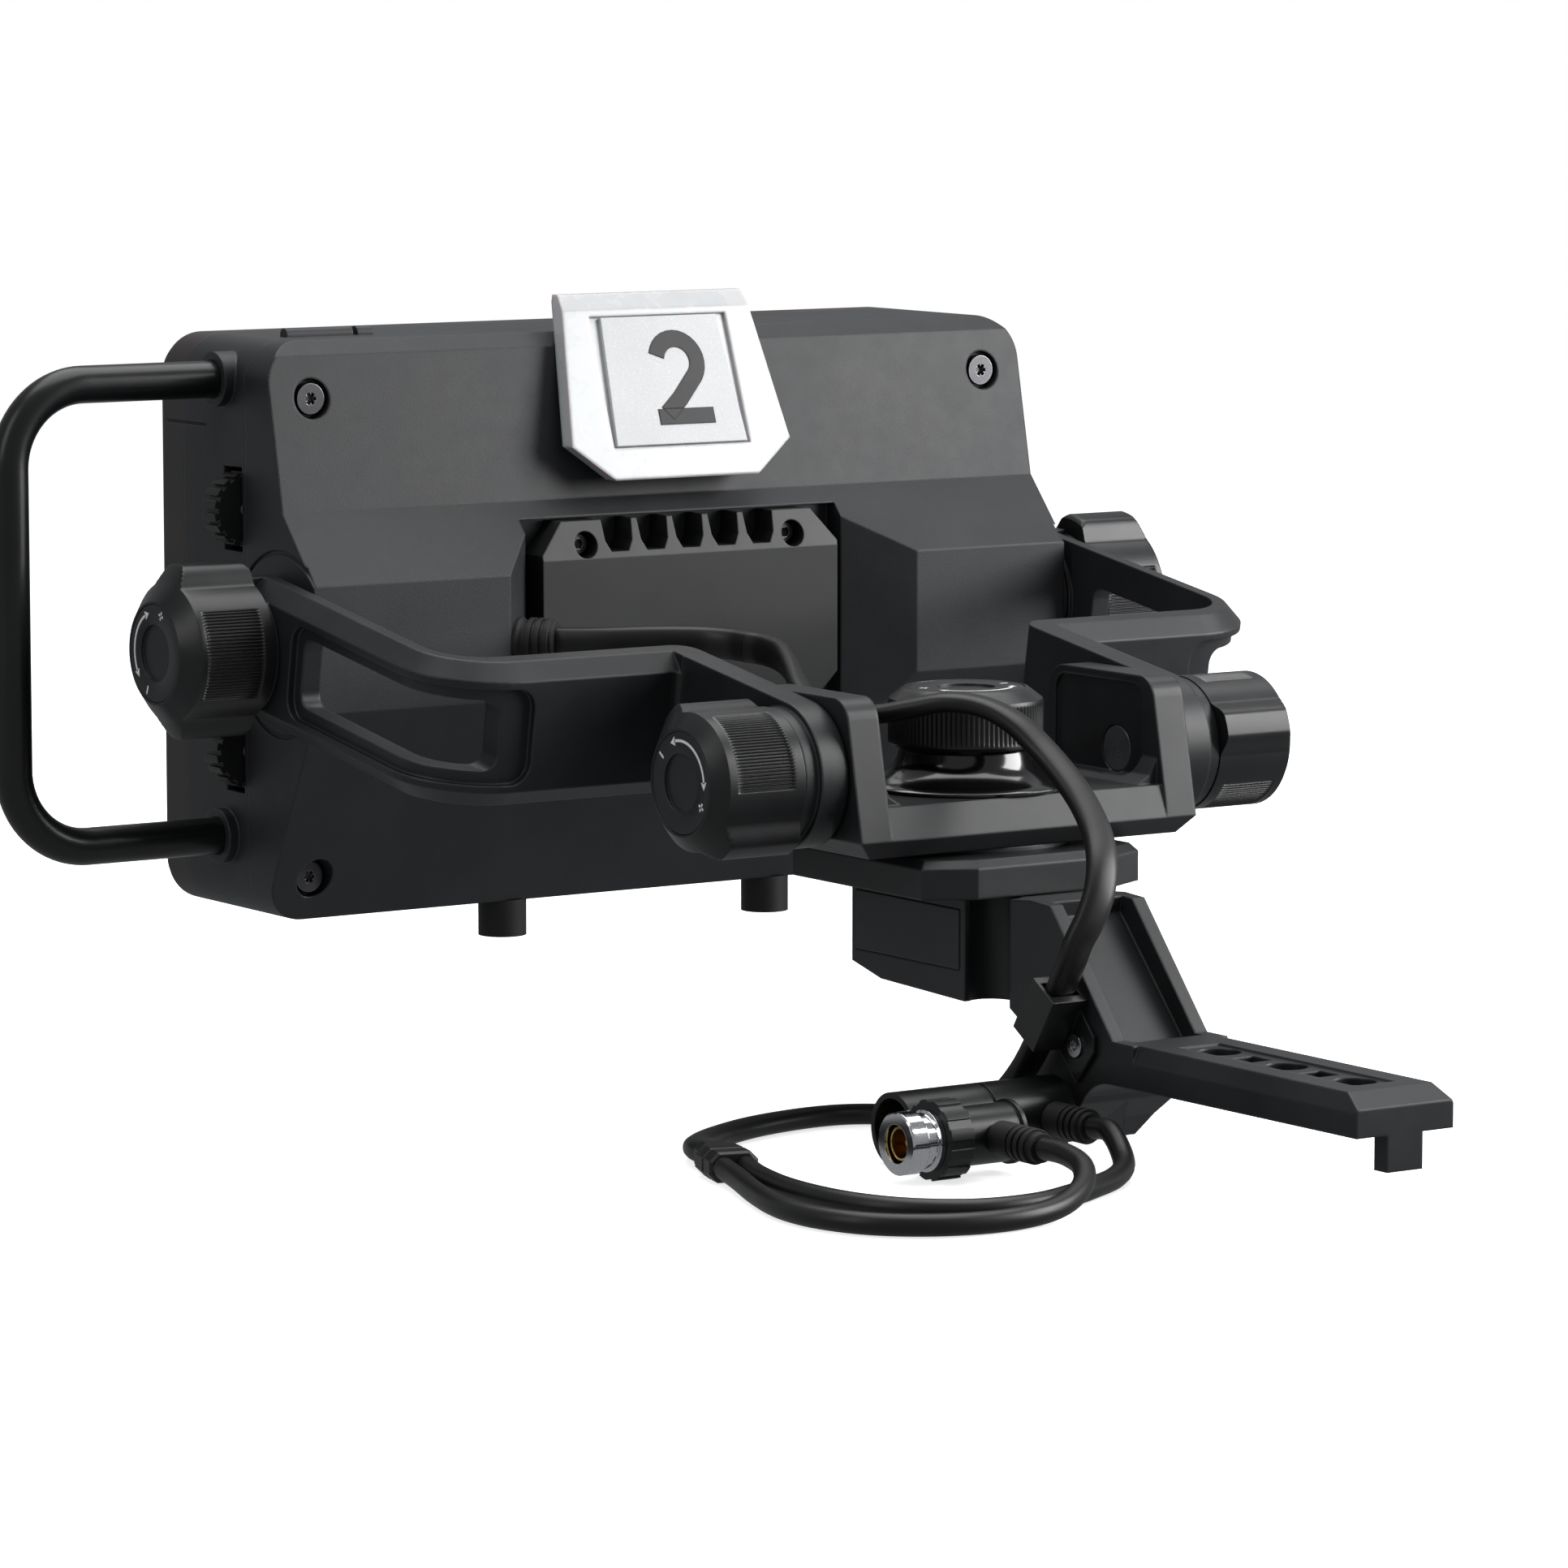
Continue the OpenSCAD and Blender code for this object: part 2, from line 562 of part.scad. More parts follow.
module mid_body() {
    lug_z = [187, 62];
    color("#2c2f33") rig() difference() {
        union() {
            housing_slab(mid_front, mid_back);
            // lugs that hold the handle, and the sockets of the rubber feet
            for (z = lug_z) translate([side_x - 8, -175, z]) rotate([0, 90, 0]) cylinder(d = 15, h = 11);
        }
        housing_slab(mid_front + wall, mid_back + 1, wall);
        translate([-74, mid_front - 1, mid_z - 46]) cube([148, 10, 92]);
        // sockets for the handle's ends
        for (z = lug_z) translate([side_x - 5.5, -175, z]) rotate([0, 90, 0]) cylinder(d = 10.3, h = 20);
        // windows for the three thumbwheels
        for (z = wheel_z) translate([side_x - 6, -174.2, z - 11.5]) cube([10, 10, 23]);
        // seats of the two top buttons
        translate([85.8, -173.1, top_z - 6]) cube([21.2, 4.2, 8]);
        translate([79.4, -173.1, top_z - 6]) cube([5.4, 4.2, 8]);
        // parting line of the hood strip
        for (s = [-1, 1]) translate([s * side_x - 0.8, mid_front - 1, 173.6]) cube([1.6, 14, 0.9]);
    }
    // posts that carry the circuit board
    color("#2c2f33") rig() for (x = [-74, 74], z = [67, 167]) translate([x, mid_front + 1, z])
        rotate([-90, 0, 0]) cylinder(d = 7, h = 11.5);
}

module main_board() {
    color("#1f5a3a") rig() {
        translate([-80, -184, 62]) cube([160, 1.6, 110]);
        translate([-22, -182.4, 96]) cube([44, 5, 40]);
        translate([-60, -182.4, 84]) cube([26, 3, 18]);
        translate([34, -182.4, 140]) cube([30, 3, 14]);
    }
}

// The rear face leans out from the top to a bend, steps out to a ledge and slopes back below it.
function rear_profile(inset) = [[-175, bottom_z - 2], [-155 - inset, bottom_z - 2], [-155 - inset, bottom_z],
    [-126 - inset, 99.5], [-126 - inset, 134 - inset * 0.4], [-142.5 - inset, 152.5 - inset * 0.4],
    [-151 - inset, 194], [-155 - inset, top_z], [-155 - inset, top_z + 2], [-175, top_z + 2]];

module rear_solid(inset) {
    intersection() {
        housing_slab(rear_front - (inset > 0 ? 1 : 0), -110, inset);
        side_cut(rear_profile(inset), -130, 130);
    }
}

module tally_prism(y0, y1, shrink) {
    translate([0, y1, 0]) rotate([90, 0, 0]) linear_extrude(y1 - y0) polygon([for (p = tally_face)
        [p[0] * (1 - shrink / 33), (p[1] - 183) * (1 - shrink / 26) + 183]]);
}

// The front slab of the tally lens stands proud of the narrower neck behind it
tally_neck = 4.5;
module tally_slab(grow) {
    intersection() {
        tally_prism(-157, -120, -grow);
        side_cut([[-136.4, 150], [-141.3 - grow, 167], [-155.5 - grow, 206 + grow], [-155.5 - grow, 212],
            [-120, 212], [-120, 150]], -40, 40);
    }
}

module rear_pocket(grow) {
    // pocket for the vent plate: its side walls spread towards the outside
    translate([0, 0, 84 - grow]) linear_extrude(63.7 + 2 * grow) polygon([[-52.5 - grow, -142 - grow],
        [52 + grow, -142 - grow], [52 + grow, -135], [62.3 + grow, -126], [62.3 + grow, -100],
        [-72.6 - grow, -100], [-72.6 - grow, -126], [-52.5 - grow, -135]]);
}

// The cable gland stands square on the pocket's flared side wall
module at_gland() translate([57.15, -130.5, 115.3]) rotate([0, 0, -48.9]) rotate([0, -90, 0]) children();

module rear_cover() {
    color("#2a2d31") rig() difference() {
        union() {
            difference() {
                rear_solid(0);
                rear_solid(wall);
            }
            intersection() {
                rear_solid(0);
                rear_pocket(wall);
            }
            intersection() {
                rear_solid(0);
                tally_prism(-159.5, -120, -3);
            }
            intersection() {
                rear_solid(0);
                for (x = [-111, 111], z = screw_z) translate([x, -115, z]) rotate([90, 0, 0])
                    cylinder(d = 15, h = 50);
            }
        }
        rear_pocket(0);
        tally_prism(-156.5, -100, tally_neck - 0.4);
        tally_slab(0.4);
        // counterbores of the four cover screws
        for (x = [-111, 111], z = screw_z) {
            translate([x, z > mid_z ? screw_top : screw_low, z]) rotate([-90, 0, 0]) cylinder(d = 11, h = 55);
            translate([x, -100, z]) rotate([90, 0, 0]) cylinder(d = 4.2, h = 70);
        }
        // bores for the tilt studs
        for (s = [-1, 1]) out_at(s, 100, tilt_y, tilt_z) cylinder(r = bore_r, h = 40);
        // opening behind the cooling slots, and the hole of the cable gland
        translate([-30, -150, 104]) cube([60, 10, 32]);
        for (s = [-1, 1]) translate([s * 34.2, -140, 140.4]) rotate([90, 0, 0]) cylinder(d = 3.2, h = 8);
        at_gland() translate([0, 0, -8]) cylinder(d = 10, h = 10);
        // holes for the pegs of the rubber feet
        for (s = [-1, 1]) translate([s * 44, peg_y, bottom_z - 1]) cylinder(d = 3.4, h = 6);
        // shallow arc groove round the tilt pivot
        for (s = [-1, 1]) out_at(s, side_x - 0.7, tilt_y, tilt_z) difference() {
            cylinder(r = 25.6, h = 2);
            translate([0, 0, -1]) cylinder(r = 24.4, h = 4);
        }
    }
}

module cover_screws() {
    color("#3d4043") rig() for (x = [-111, 111], z = screw_z)
        translate([x, z > mid_z ? screw_top : screw_low, z]) rotate([-90, 0, 0]) difference() {
            union() {
                cylinder(d = 8.4, h = 3);
                translate([0, 0, -9]) cylinder(d = 4, h = 10);
            }
            translate([0, 0, 3]) star_socket(3.4, 1.6);
        }
}

module vent_plate() {
    z0 = 96;
    z1 = 147;
    x1 = 48.7;
    c = 5;
    color("#16181a") rig() difference() {
        translate([0, -131, 0]) rotate([90, 0, 0]) linear_extrude(11)
            polygon([[-x1 + c, z0], [x1 - c, z0], [x1, z0 + c], [x1, z1 - 9], [x1 - 7.5, z1],
                [-x1 + 7.5, z1], [-x1, z1 - 9], [-x1, z0 + c]]);
        // bevelled top band with its row of slots, and the screw seats at both ends
        side_cut([[-131, 136.6], [-134.2, 148], [-130, 148], [-130, 136.6]], -60, 60);
        for (k = [-2:2]) translate([k * 11.7, -120, 138.2]) rotate([90, 0, 0]) linear_extrude(30)
            polygon([[-5.2, 12], [-4.4, 3], [-2.8, 0], [2.8, 0], [4.4, 3], [5.2, 12]]);
        for (s = [-1, 1]) {
            translate([s * 34.2, -120, 140.4]) rotate([90, 0, 0]) cylinder(d = 7.4, h = 19);
            translate([s * 34.2, -120, 140.4]) rotate([90, 0, 0]) cylinder(d = 3.2, h = 30);
        }
        translate([-42, -144, 99]) cube([84, 10.4, 35]);
    }
}

module vent_screws() {
    color("#4a4d50") rig() for (s = [-1, 1]) translate([s * 34.2, -139, 140.4]) rotate([-90, 0, 0]) difference() {
        union() {
            cylinder(d = 5.4, h = 3);
            translate([0, 0, -4]) cylinder(d = 3, h = 5);
        }
        translate([0, 0, 1.6]) cylinder(d = 2.9, h = 3, $fn = 6);
    }
}

module tally_lens() {
    color("#eceef0", 0.85) rig() difference() {
        intersection() {
            union() {
                tally_slab(0);
                tally_prism(-156.5, -134, tally_neck);
            }
            side_cut([[-157, 150], [-135.5, 150], [-133.2, 158], [-136, 167], [-149.4, 203.6], [-153, 208],
                [-157, 209]], -40, 40);
        }
        intersection() {
            tally_prism(-160, -120, 7.5);
            side_cut([[-161, 150], [-138, 150], [-139, 164], [-152, 200], [-161, 206]], -40, 40);
        }
        // flat seat of the number plate
        translate([0, -142.4, 184]) rotate([tally_lean, 0, 0]) translate([-22.5, -0.9, -19]) cube([45, 20, 38]);
    }
}

module tally_label() {
    color("#d9dbdd") rig() translate([0, -142.4, 184]) rotate([tally_lean, 0, 0]) translate([0, 0.4, 0])
        rotate([90, 0, 0]) linear_extrude(1.3) polygon([[-19, 18.5], [19, 18.5], [21.5, -18.5], [-21.5, -18.5]]);
}

module tally_board() {
    color("#1f5a3a") rig() translate([-19, -156.5, 167]) cube([38, 1.6, 26]);
}

module handle() {
    out = 189 - side_x;
    bend = 22;
    z0 = 62;
    z1 = 187;
    start = side_x - 5.3;
    color("#141618") rig() {
        for (z = [z0, z1]) translate([start, -175, z]) rotate([0, 90, 0])
            cylinder(d = 10.2, h = 189 - bend - start);
        translate([189, -175, z0 + bend]) cylinder(d = 10.2, h = z1 - z0 - 2 * bend);
        translate([189 - bend, -175, z1 - bend]) rotate([90, 0, 0]) rotate_extrude(angle = 90)
            translate([bend, 0]) circle(d = 10.2);
        translate([189 - bend, -175, z0 + bend]) rotate([90, 0, 0]) rotate([0, 0, -90]) rotate_extrude(angle = 90)
            translate([bend, 0]) circle(d = 10.2);
    }
}

module thumbwheel(z) {
    color("#1a1c1e") rig() translate([wheel_x, -165, z]) rotate([90, 0, 0]) difference() {
        linear_extrude(7) difference() {
            circle(wheel_r);
            for (a = [0:20:359]) rotate(a) translate([wheel_r, 0]) square([2.4, 1.4], center = true);
        }
        translate([0, 0, -1]) cylinder(r = 2 + run_gap, h = 10);
    }
}

module brightness_wheel() thumbwheel(wheel_z[0]);
module contrast_wheel() thumbwheel(wheel_z[1]);
module peaking_wheel() thumbwheel(wheel_z[2]);

module control_pots() {
    color("#6d6f72") rig() {
        for (z = wheel_z) translate([0, 0, z]) {
            translate([wheel_x, -165, 0]) rotate([90, 0, 0]) cylinder(r = 2, h = 7.4);
            translate([114, -173.8, -3]) cube([9.4, 1.6, 6]);
            translate([114, -181, -5.5]) cube([6.5, 7.4, 11]);
        }
        translate([112, -193.9, 76]) cube([2.8, 19.4, 86]);
    }
}

module top_button(x0, x1) {
    w = 1.9;
    y = -171;
    color("#2f3236") rig() translate([x0, 0, 0]) rotate([90, 0, 90]) linear_extrude(x1 - x0) {
        translate([y - w, top_z - 4]) square([2 * w, 4.5]);
        translate([y, top_z + 0.5]) circle(w);
    }
}

module long_button() top_button(86, 106.8);
module short_button() top_button(79.6, 84.6);

module rubber_feet() {
    color("#17181a") rig() for (s = [-1, 1]) {
        translate([s * 44, foot_y, bottom_z - 10.2]) cylinder(d = 13.5, h = 10.2);
        translate([s * 44, peg_y, bottom_z - 1]) cylinder(d = 3.2, h = 5);
    }
}

// ---- Cables ----

module cable_gland() {
    color("#17181a") rig() at_gland() {
        rotate_extrude() polygon([[0, -4], [4.9, -4], [4.9, 0], [6.7, 0], [6.7, 1.2], [5.8, 2.4], [5.8, 11],
            [0, 11]]);
        for (k = [0:2]) translate([0, 0, 3.6 + k * 2.5]) cylinder(r = 6.6, h = 1.3);
    }
}

module flat_cable(route, ups) color("#131416") rig() tube(route, ups, flat_w, flat_t, 10);
module round_lead(route) color("#131416") rig()
    tube(route, [for (p = route) [0, 0, 1]], lead_d, lead_d, 8);

module y_splitter() {
    color("#1b1c1e") rig() translate([112, 54, 0]) rotate([0, 0, 75]) {
        translate([-10, -4.6, 0.2]) cube([6, 9.2, 7.6]);
        translate([-4.4, -6.4, 0.2]) cube([13.6, 12.8, 7.8]);
    }
}

module ribbed_boot(length, root) {
    // a moulded strain relief, drawn standing on the plug's side
    cylinder(d = 9, h = root);
    translate([0, 0, root]) cylinder(d = 7.4, h = length - root);
    for (k = [0:2]) translate([0, 0, root + k * 2.6 + 0.8]) cylinder(d = 9, h = 1.5);
}

module bnc_elbow() {
    color("#1c1e20") rig() translate([bnc_x, bnc_y, bnc_z]) rotate([0, 90, 0]) {
        cylinder(d = 16.4, h = 1.2);
        cylinder(d = 15, h = 17.3);
    }
}
module bnc_boot() color("#17181a") rig()
    translate([bnc_x + 8, bnc_y + 7.6, bnc_z]) rotate([-90, 0, 0]) ribbed_boot(17.4, 7.4);

module bnc_collar() {
    color("#222427") rig() translate([bnc_x + 17.7, bnc_y, bnc_z]) rotate([0, 90, 0]) difference() {
        linear_extrude(7) difference() {
            circle(d = 20.4);
            for (a = [0:30:359]) rotate(a) translate([10.2, 0]) square([1, 2.4], center = true);
        }
        translate([0, 0, -1]) cylinder(r = 6.8, h = 10);
    }
}

module bnc_sleeve() {
    color("#d5d8dc") rig() translate([bnc_x + 17.9, bnc_y, bnc_z]) rotate([0, 90, 0]) difference() {
        union() {
            cylinder(r = 6.8, h = 7);
            translate([0, 0, 6.9]) rotate_extrude() polygon([[0, 0], [7.8, 0], [7.8, 1.4], [7, 1.8], [7, 4.6],
                [7.9, 5], [7.9, 9.4], [7.5, 9.8], [0, 9.8]]);
        }
        translate([0, 0, -1]) cylinder(r = 4.9, h = 30);
        // bayonet windows
        for (a = [0, 180]) rotate(a) translate([5.6, -1.1, 10]) cube([4, 2.2, 2.6]);
    }
}

module bnc_contacts() {
    color("#c9a13a") rig() translate([bnc_x + 17.3, bnc_y, bnc_z]) rotate([0, 90, 0]) {
        cylinder(r = 4.75, h = 4);
        difference() {
            cylinder(r = 4.2, h = 16);
            translate([0, 0, 4]) cylinder(r = 3.7, h = 20);
        }
        cylinder(r = 0.7, h = 14);
    }
}

module power_shell() {
    color("#1c1e20") rig() translate([19, power_y, power_z]) rotate([0, 90, 0]) difference() {
        cylinder(d = 19, h = 50);
        translate([0, 0, 32]) cylinder(d = 16, h = 30);
        translate([0, 0, 23.4]) difference() {
            cylinder(d = 22, h = 0.9);
            translate([0, 0, -1]) cylinder(d = 18, h = 4);
        }
        for (a = [45:90:359]) rotate(a) translate([4.6, 0, 26]) cylinder(d = 2.3, h = 10);
    }
}
module power_boot() color("#17181a") rig()
    translate([25.5, power_y + 9.6, power_z]) rotate([-90, 0, 0]) ribbed_boot(15.4, 6.4);

module power_pins() {
    color("#c9a13a") rig() translate([19, power_y, power_z]) rotate([0, 90, 0])
        for (a = [45:90:359]) rotate(a) translate([4.6, 0, 26]) {
            cylinder(d = 2.3, h = 18);
            translate([0, 0, 18]) sphere(d = 2.3);
        }
}

foot_bracket();
quick_release();
cable_clip();
clip_screw();
pan_base();
pan_washer();
pan_bolt();
friction_dish();
pan_knob();
pan_knob_cap();
yoke();
pivot_bolts();
link_arm_left();
link_arm_right();
pivot_knob(1, 35);  // pivot_knob_left
pivot_cap(1);  // pivot_cap_left
pivot_knob(-1, 72);  // pivot_knob_right
pivot_cap(-1);  // pivot_cap_right
tilt_knob(1, 0);  // tilt_knob_left
tilt_cap(1);  // tilt_cap_left
tilt_knob(-1, 12);  // tilt_knob_right
tilt_cap(-1);  // tilt_cap_right
tilt_studs();
tilt_washers();
front_bezel();
screen_glass();
lcd_panel();
mid_body();
main_board();
rear_cover();
cover_screws();
vent_plate();
vent_screws();
tally_lens();
tally_label();
tally_board();
handle();
brightness_wheel();
contrast_wheel();
peaking_wheel();
control_pots();
long_button();
short_button();
rubber_feet();
cable_gland();
flat_cable(tilt_route, tilt_ups);  // tilt_lead
flat_cable(arm_route, arm_ups);  // arm_lead
flat_cable(pan_route, pan_ups);  // pan_lead
flat_cable(floor_route, floor_ups);  // floor_lead
y_splitter();
round_lead(bnc_route);  // bnc_lead
round_lead(power_route);  // power_lead
bnc_elbow();
bnc_boot();
bnc_collar();
bnc_sleeve();
bnc_contacts();
power_shell();
power_boot();
power_pins();
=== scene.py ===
# %% [markdown]
# This lesson dresses a studio viewfinder monitor that hangs between two link arms on a panning
# yoke and a clawed foot. The engineering shapes come from a imported CAD model, the frame.
# We could model everything again here, but the frame already has true sizes and joints. So we
# keep each node whose shape is right and give it a real finish, and build finer pieces where
# the eye lands: the cables and splitter, the friction knobs and their printed caps, the tally numeral.

# %% Load the frame
import math

import bpy
from mathutils import Matrix, Vector


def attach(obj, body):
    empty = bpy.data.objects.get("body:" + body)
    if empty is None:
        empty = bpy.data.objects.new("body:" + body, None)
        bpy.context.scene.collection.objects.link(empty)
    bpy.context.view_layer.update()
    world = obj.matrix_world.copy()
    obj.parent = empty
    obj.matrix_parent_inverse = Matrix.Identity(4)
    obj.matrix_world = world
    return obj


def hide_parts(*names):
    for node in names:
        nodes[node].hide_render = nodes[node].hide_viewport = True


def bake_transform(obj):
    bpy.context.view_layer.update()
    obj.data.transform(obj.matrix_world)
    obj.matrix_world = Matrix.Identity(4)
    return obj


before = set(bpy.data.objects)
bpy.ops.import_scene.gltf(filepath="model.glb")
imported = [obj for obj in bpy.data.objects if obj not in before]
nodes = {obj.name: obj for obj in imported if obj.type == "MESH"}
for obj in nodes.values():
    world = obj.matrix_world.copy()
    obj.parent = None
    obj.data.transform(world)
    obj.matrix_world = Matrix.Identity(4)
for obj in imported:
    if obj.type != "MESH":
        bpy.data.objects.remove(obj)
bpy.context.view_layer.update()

# %% [markdown]
# The drawing numbers of this rig are in millimetres from the pan axis and the tips of the foot's
# claws. The frame's own origin is the middle screw hole. One small helper turns a drawing point
# into a scene point in metres, so every later cell can use the numbers that a maker would use.

# %% Drawing numbers to scene metres
MM = 0.001
HOLE_Y = 137.0
BAR_Z = 19.0


def place(x, y, z):
    return Vector((x * MM, (y - HOLE_Y) * MM, (z - BAR_Z) * MM))


FLOOR_Z = -BAR_Z * MM
print("floor height in metres:", FLOOR_Z)

# %% [markdown]
# A product picture of something this size is taken with a long lens from a few metres away, which
# keeps parallel edges nearly parallel. We set the lens first and then turn the camera with a
# direction rather than with three angles, because a direction is easier to reason about.

# %% Camera
AZIMUTH = math.radians(146.1)
ELEVATION = math.radians(7.02)
FOCAL_OVER_WIDTH = 8543 / 1932
SENSOR = 36.0

backwards = Vector((math.sin(AZIMUTH) * math.cos(ELEVATION),
                    -math.cos(AZIMUTH) * math.cos(ELEVATION),
                    math.sin(ELEVATION)))
lens = bpy.data.cameras.new("product_camera")
lens.sensor_width = SENSOR
lens.lens = FOCAL_OVER_WIDTH * SENSOR
lens.clip_end = 50
camera = bpy.data.objects.new("product_camera", lens)
camera.location = place(1047.748, 1473.743, 308.0)
camera.rotation_euler = backwards.to_track_quat("Z", "Y").to_euler()
bpy.context.scene.collection.objects.link(camera)
bpy.context.scene.camera = camera
print("lens in millimetres:", round(lens.lens, 1))

# %% [markdown]
# Most new pieces are grids of points: a cable is a ring carried along a line, and a knob is a ring
# carried up its axis. So one helper makes a mesh from rings and closes both ends, and another
# gives it soft shading with crisp edges where faces meet at a steep angle.

# %% Mesh helpers
CRISP = math.radians(32)


def add_piece(name, points, faces, body, finish, crisp=CRISP):
    mesh = bpy.data.meshes.new(name)
    mesh.from_pydata([tuple(p) for p in points], [], faces)
    mesh.update()
    mesh.shade_smooth()
    mesh.set_sharp_from_angle(angle=crisp)
    mesh.materials.append(finish)
    piece = bpy.data.objects.new(name, mesh)
    bpy.context.scene.collection.objects.link(piece)
    if body:
        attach(piece, body)
    return piece


def ring_faces(rings, around, first=0):
    faces = []
    for i in range(rings - 1):
        for k in range(around):
            j = (k + 1) % around
            a = first + i * around
            faces.append((a + k, a + j, a + around + j, a + around + k))
    return faces


def closed_rings(rings):
    around = len(rings[0])
    points = [p for ring in rings for p in ring]
    faces = ring_faces(len(rings), around)
    faces.append(tuple(range(around - 1, -1, -1)))
    last = (len(rings) - 1) * around
    faces.append(tuple(range(last, last + around)))
    return points, faces


print("helpers ready")

# %% [markdown]
# A finish is a small program of shader nodes. Wiring nodes by hand is slow to read, so a tiny class
# wraps a socket and gives it the usual arithmetic. An expression such as 1 - worn * 0.5 then adds
# its own Math nodes. Colours and vectors never pass through Math nodes, which would turn them grey.

# %% Shader arithmetic
class Wire:
    def __init__(self, finish, socket):
        self.finish = finish
        self.socket = socket

    def maths(self, operation, a, b):
        return self.finish.node("ShaderNodeMath", {"operation": operation}, {0: a, 1: b})

    def __add__(self, other):
        return self.maths("ADD", self, other)

    __radd__ = __add__

    def __mul__(self, other):
        return self.maths("MULTIPLY", self, other)

    __rmul__ = __mul__

    def __sub__(self, other):
        return self.maths("SUBTRACT", self, other)

    def __rsub__(self, other):
        return self.maths("SUBTRACT", other, self)

    def within(self, low, high):
        return self.finish.node("ShaderNodeMapRange", {"clamp": True},
                                {"Value": self, "From Min": low, "From Max": high})


class Finish:
    def __init__(self, name):
        self.material = bpy.data.materials.new(name)
        self.material.use_nodes = True
        self.tree = self.material.node_tree
        self.shader = self.tree.nodes["Principled BSDF"]
        self.ground = self.node("ShaderNodeTexCoord", output="Object")

    def node(self, kind, settings=None, sockets=None, output=0):
        made = self.tree.nodes.new(kind)
        for key, value in (settings or {}).items():
            setattr(made, key, value)
        for key, value in (sockets or {}).items():
            self.feed(made.inputs[key], value)
        return Wire(self, made.outputs[output])

    def feed(self, socket, value):
        if isinstance(value, Wire):
            self.tree.links.new(value.socket, socket)
        else:
            socket.default_value = value

    def set(self, **values):
        for key, value in values.items():
            self.feed(self.shader.inputs[key.replace("_", " ")], value)

    def noise(self, size, detail=2.0, stretch=None):
        where = self.ground
        if stretch:
            where = self.node("ShaderNodeVectorMath", {"operation": "MULTIPLY"}, {0: where, 1: stretch})
        return self.node("ShaderNodeTexNoise", {}, {"Vector": where, "Scale": 1 / (size * MM),
                                                    "Detail": detail, "Roughness": 0.55})

    def blend(self, factor, a, b):
        mixed = self.tree.nodes.new("ShaderNodeMix")
        mixed.data_type = "RGBA"
        self.feed(mixed.inputs[0], factor)
        self.feed(mixed.inputs[6], a)
        self.feed(mixed.inputs[7], b)
        return Wire(self, mixed.outputs[2])

    def rounded(self, radius):
        return self.node("ShaderNodeBevel", {"samples": 6}, {"Radius": radius * MM})

    def edges(self, radius):
        soft = self.rounded(radius)
        flat = self.node("ShaderNodeNewGeometry", output="True Normal")
        dot = self.node("ShaderNodeVectorMath", {"operation": "DOT_PRODUCT"}, {0: soft, 1: flat},
                        output="Value")
        return (1 - dot).within(0.02, 0.3)

    def relief(self, height, depth, strength, round_edges):
        self.set(Normal=self.node("ShaderNodeBump", {}, {
            "Height": height, "Distance": depth * MM, "Strength": strength,
            "Normal": self.rounded(round_edges)}))


def colour(r, g, b):
    return (r, g, b, 1.0)


print("shader arithmetic ready")

# %% [markdown]
# Nearly everything on this rig is black or charcoal, so the finishes differ by grain and gloss
# rather than by colour. Powder coat has a fine pebble, anodised alloy has a dry bead-blasted grain
# and bright rubbed edges, moulded knobs are smooth satin, rubber is dull. One recipe with a few
# numbers covers them all: mottled colour, grain as relief, and wear that follows the edges.

# %% The common recipe
def coated(name, base, rough, grain, depth, edge=0.6, rub=0.35, round_edges=0.5,
           metallic=0.0, mottle=0.25, coat=0.0, specular=0.38):
    made = Finish(name)
    pebble = made.noise(grain, 3.0)
    cloud = made.noise(38.0, 4.0)
    scuff = made.noise(6.0, 6.0)
    worn = made.edges(edge) * (0.4 + scuff * 1.1)
    dark = [c * (1 - mottle) for c in base]
    light = [c * (1 + mottle) for c in base]
    plain = made.blend(cloud.within(0.35, 0.65), colour(*dark), colour(*light))
    speckled = made.blend(pebble.within(0.55, 0.75) * 0.35, plain, colour(*[c * 1.9 for c in base]))
    bare = [min(1.0, c * 3.2 + 0.035) for c in base]
    made.set(Base_Color=made.blend(worn * rub, speckled, colour(*bare)))
    made.set(Roughness=rough + (cloud - 0.5) * 0.14 + (scuff - 0.5) * 0.08 - worn * 0.12)
    made.set(Metallic=metallic, Coat_Weight=coat, Coat_Roughness=0.12)
    made.set(Specular_IOR_Level=specular)
    made.relief(pebble, depth, 0.6, round_edges)
    return made


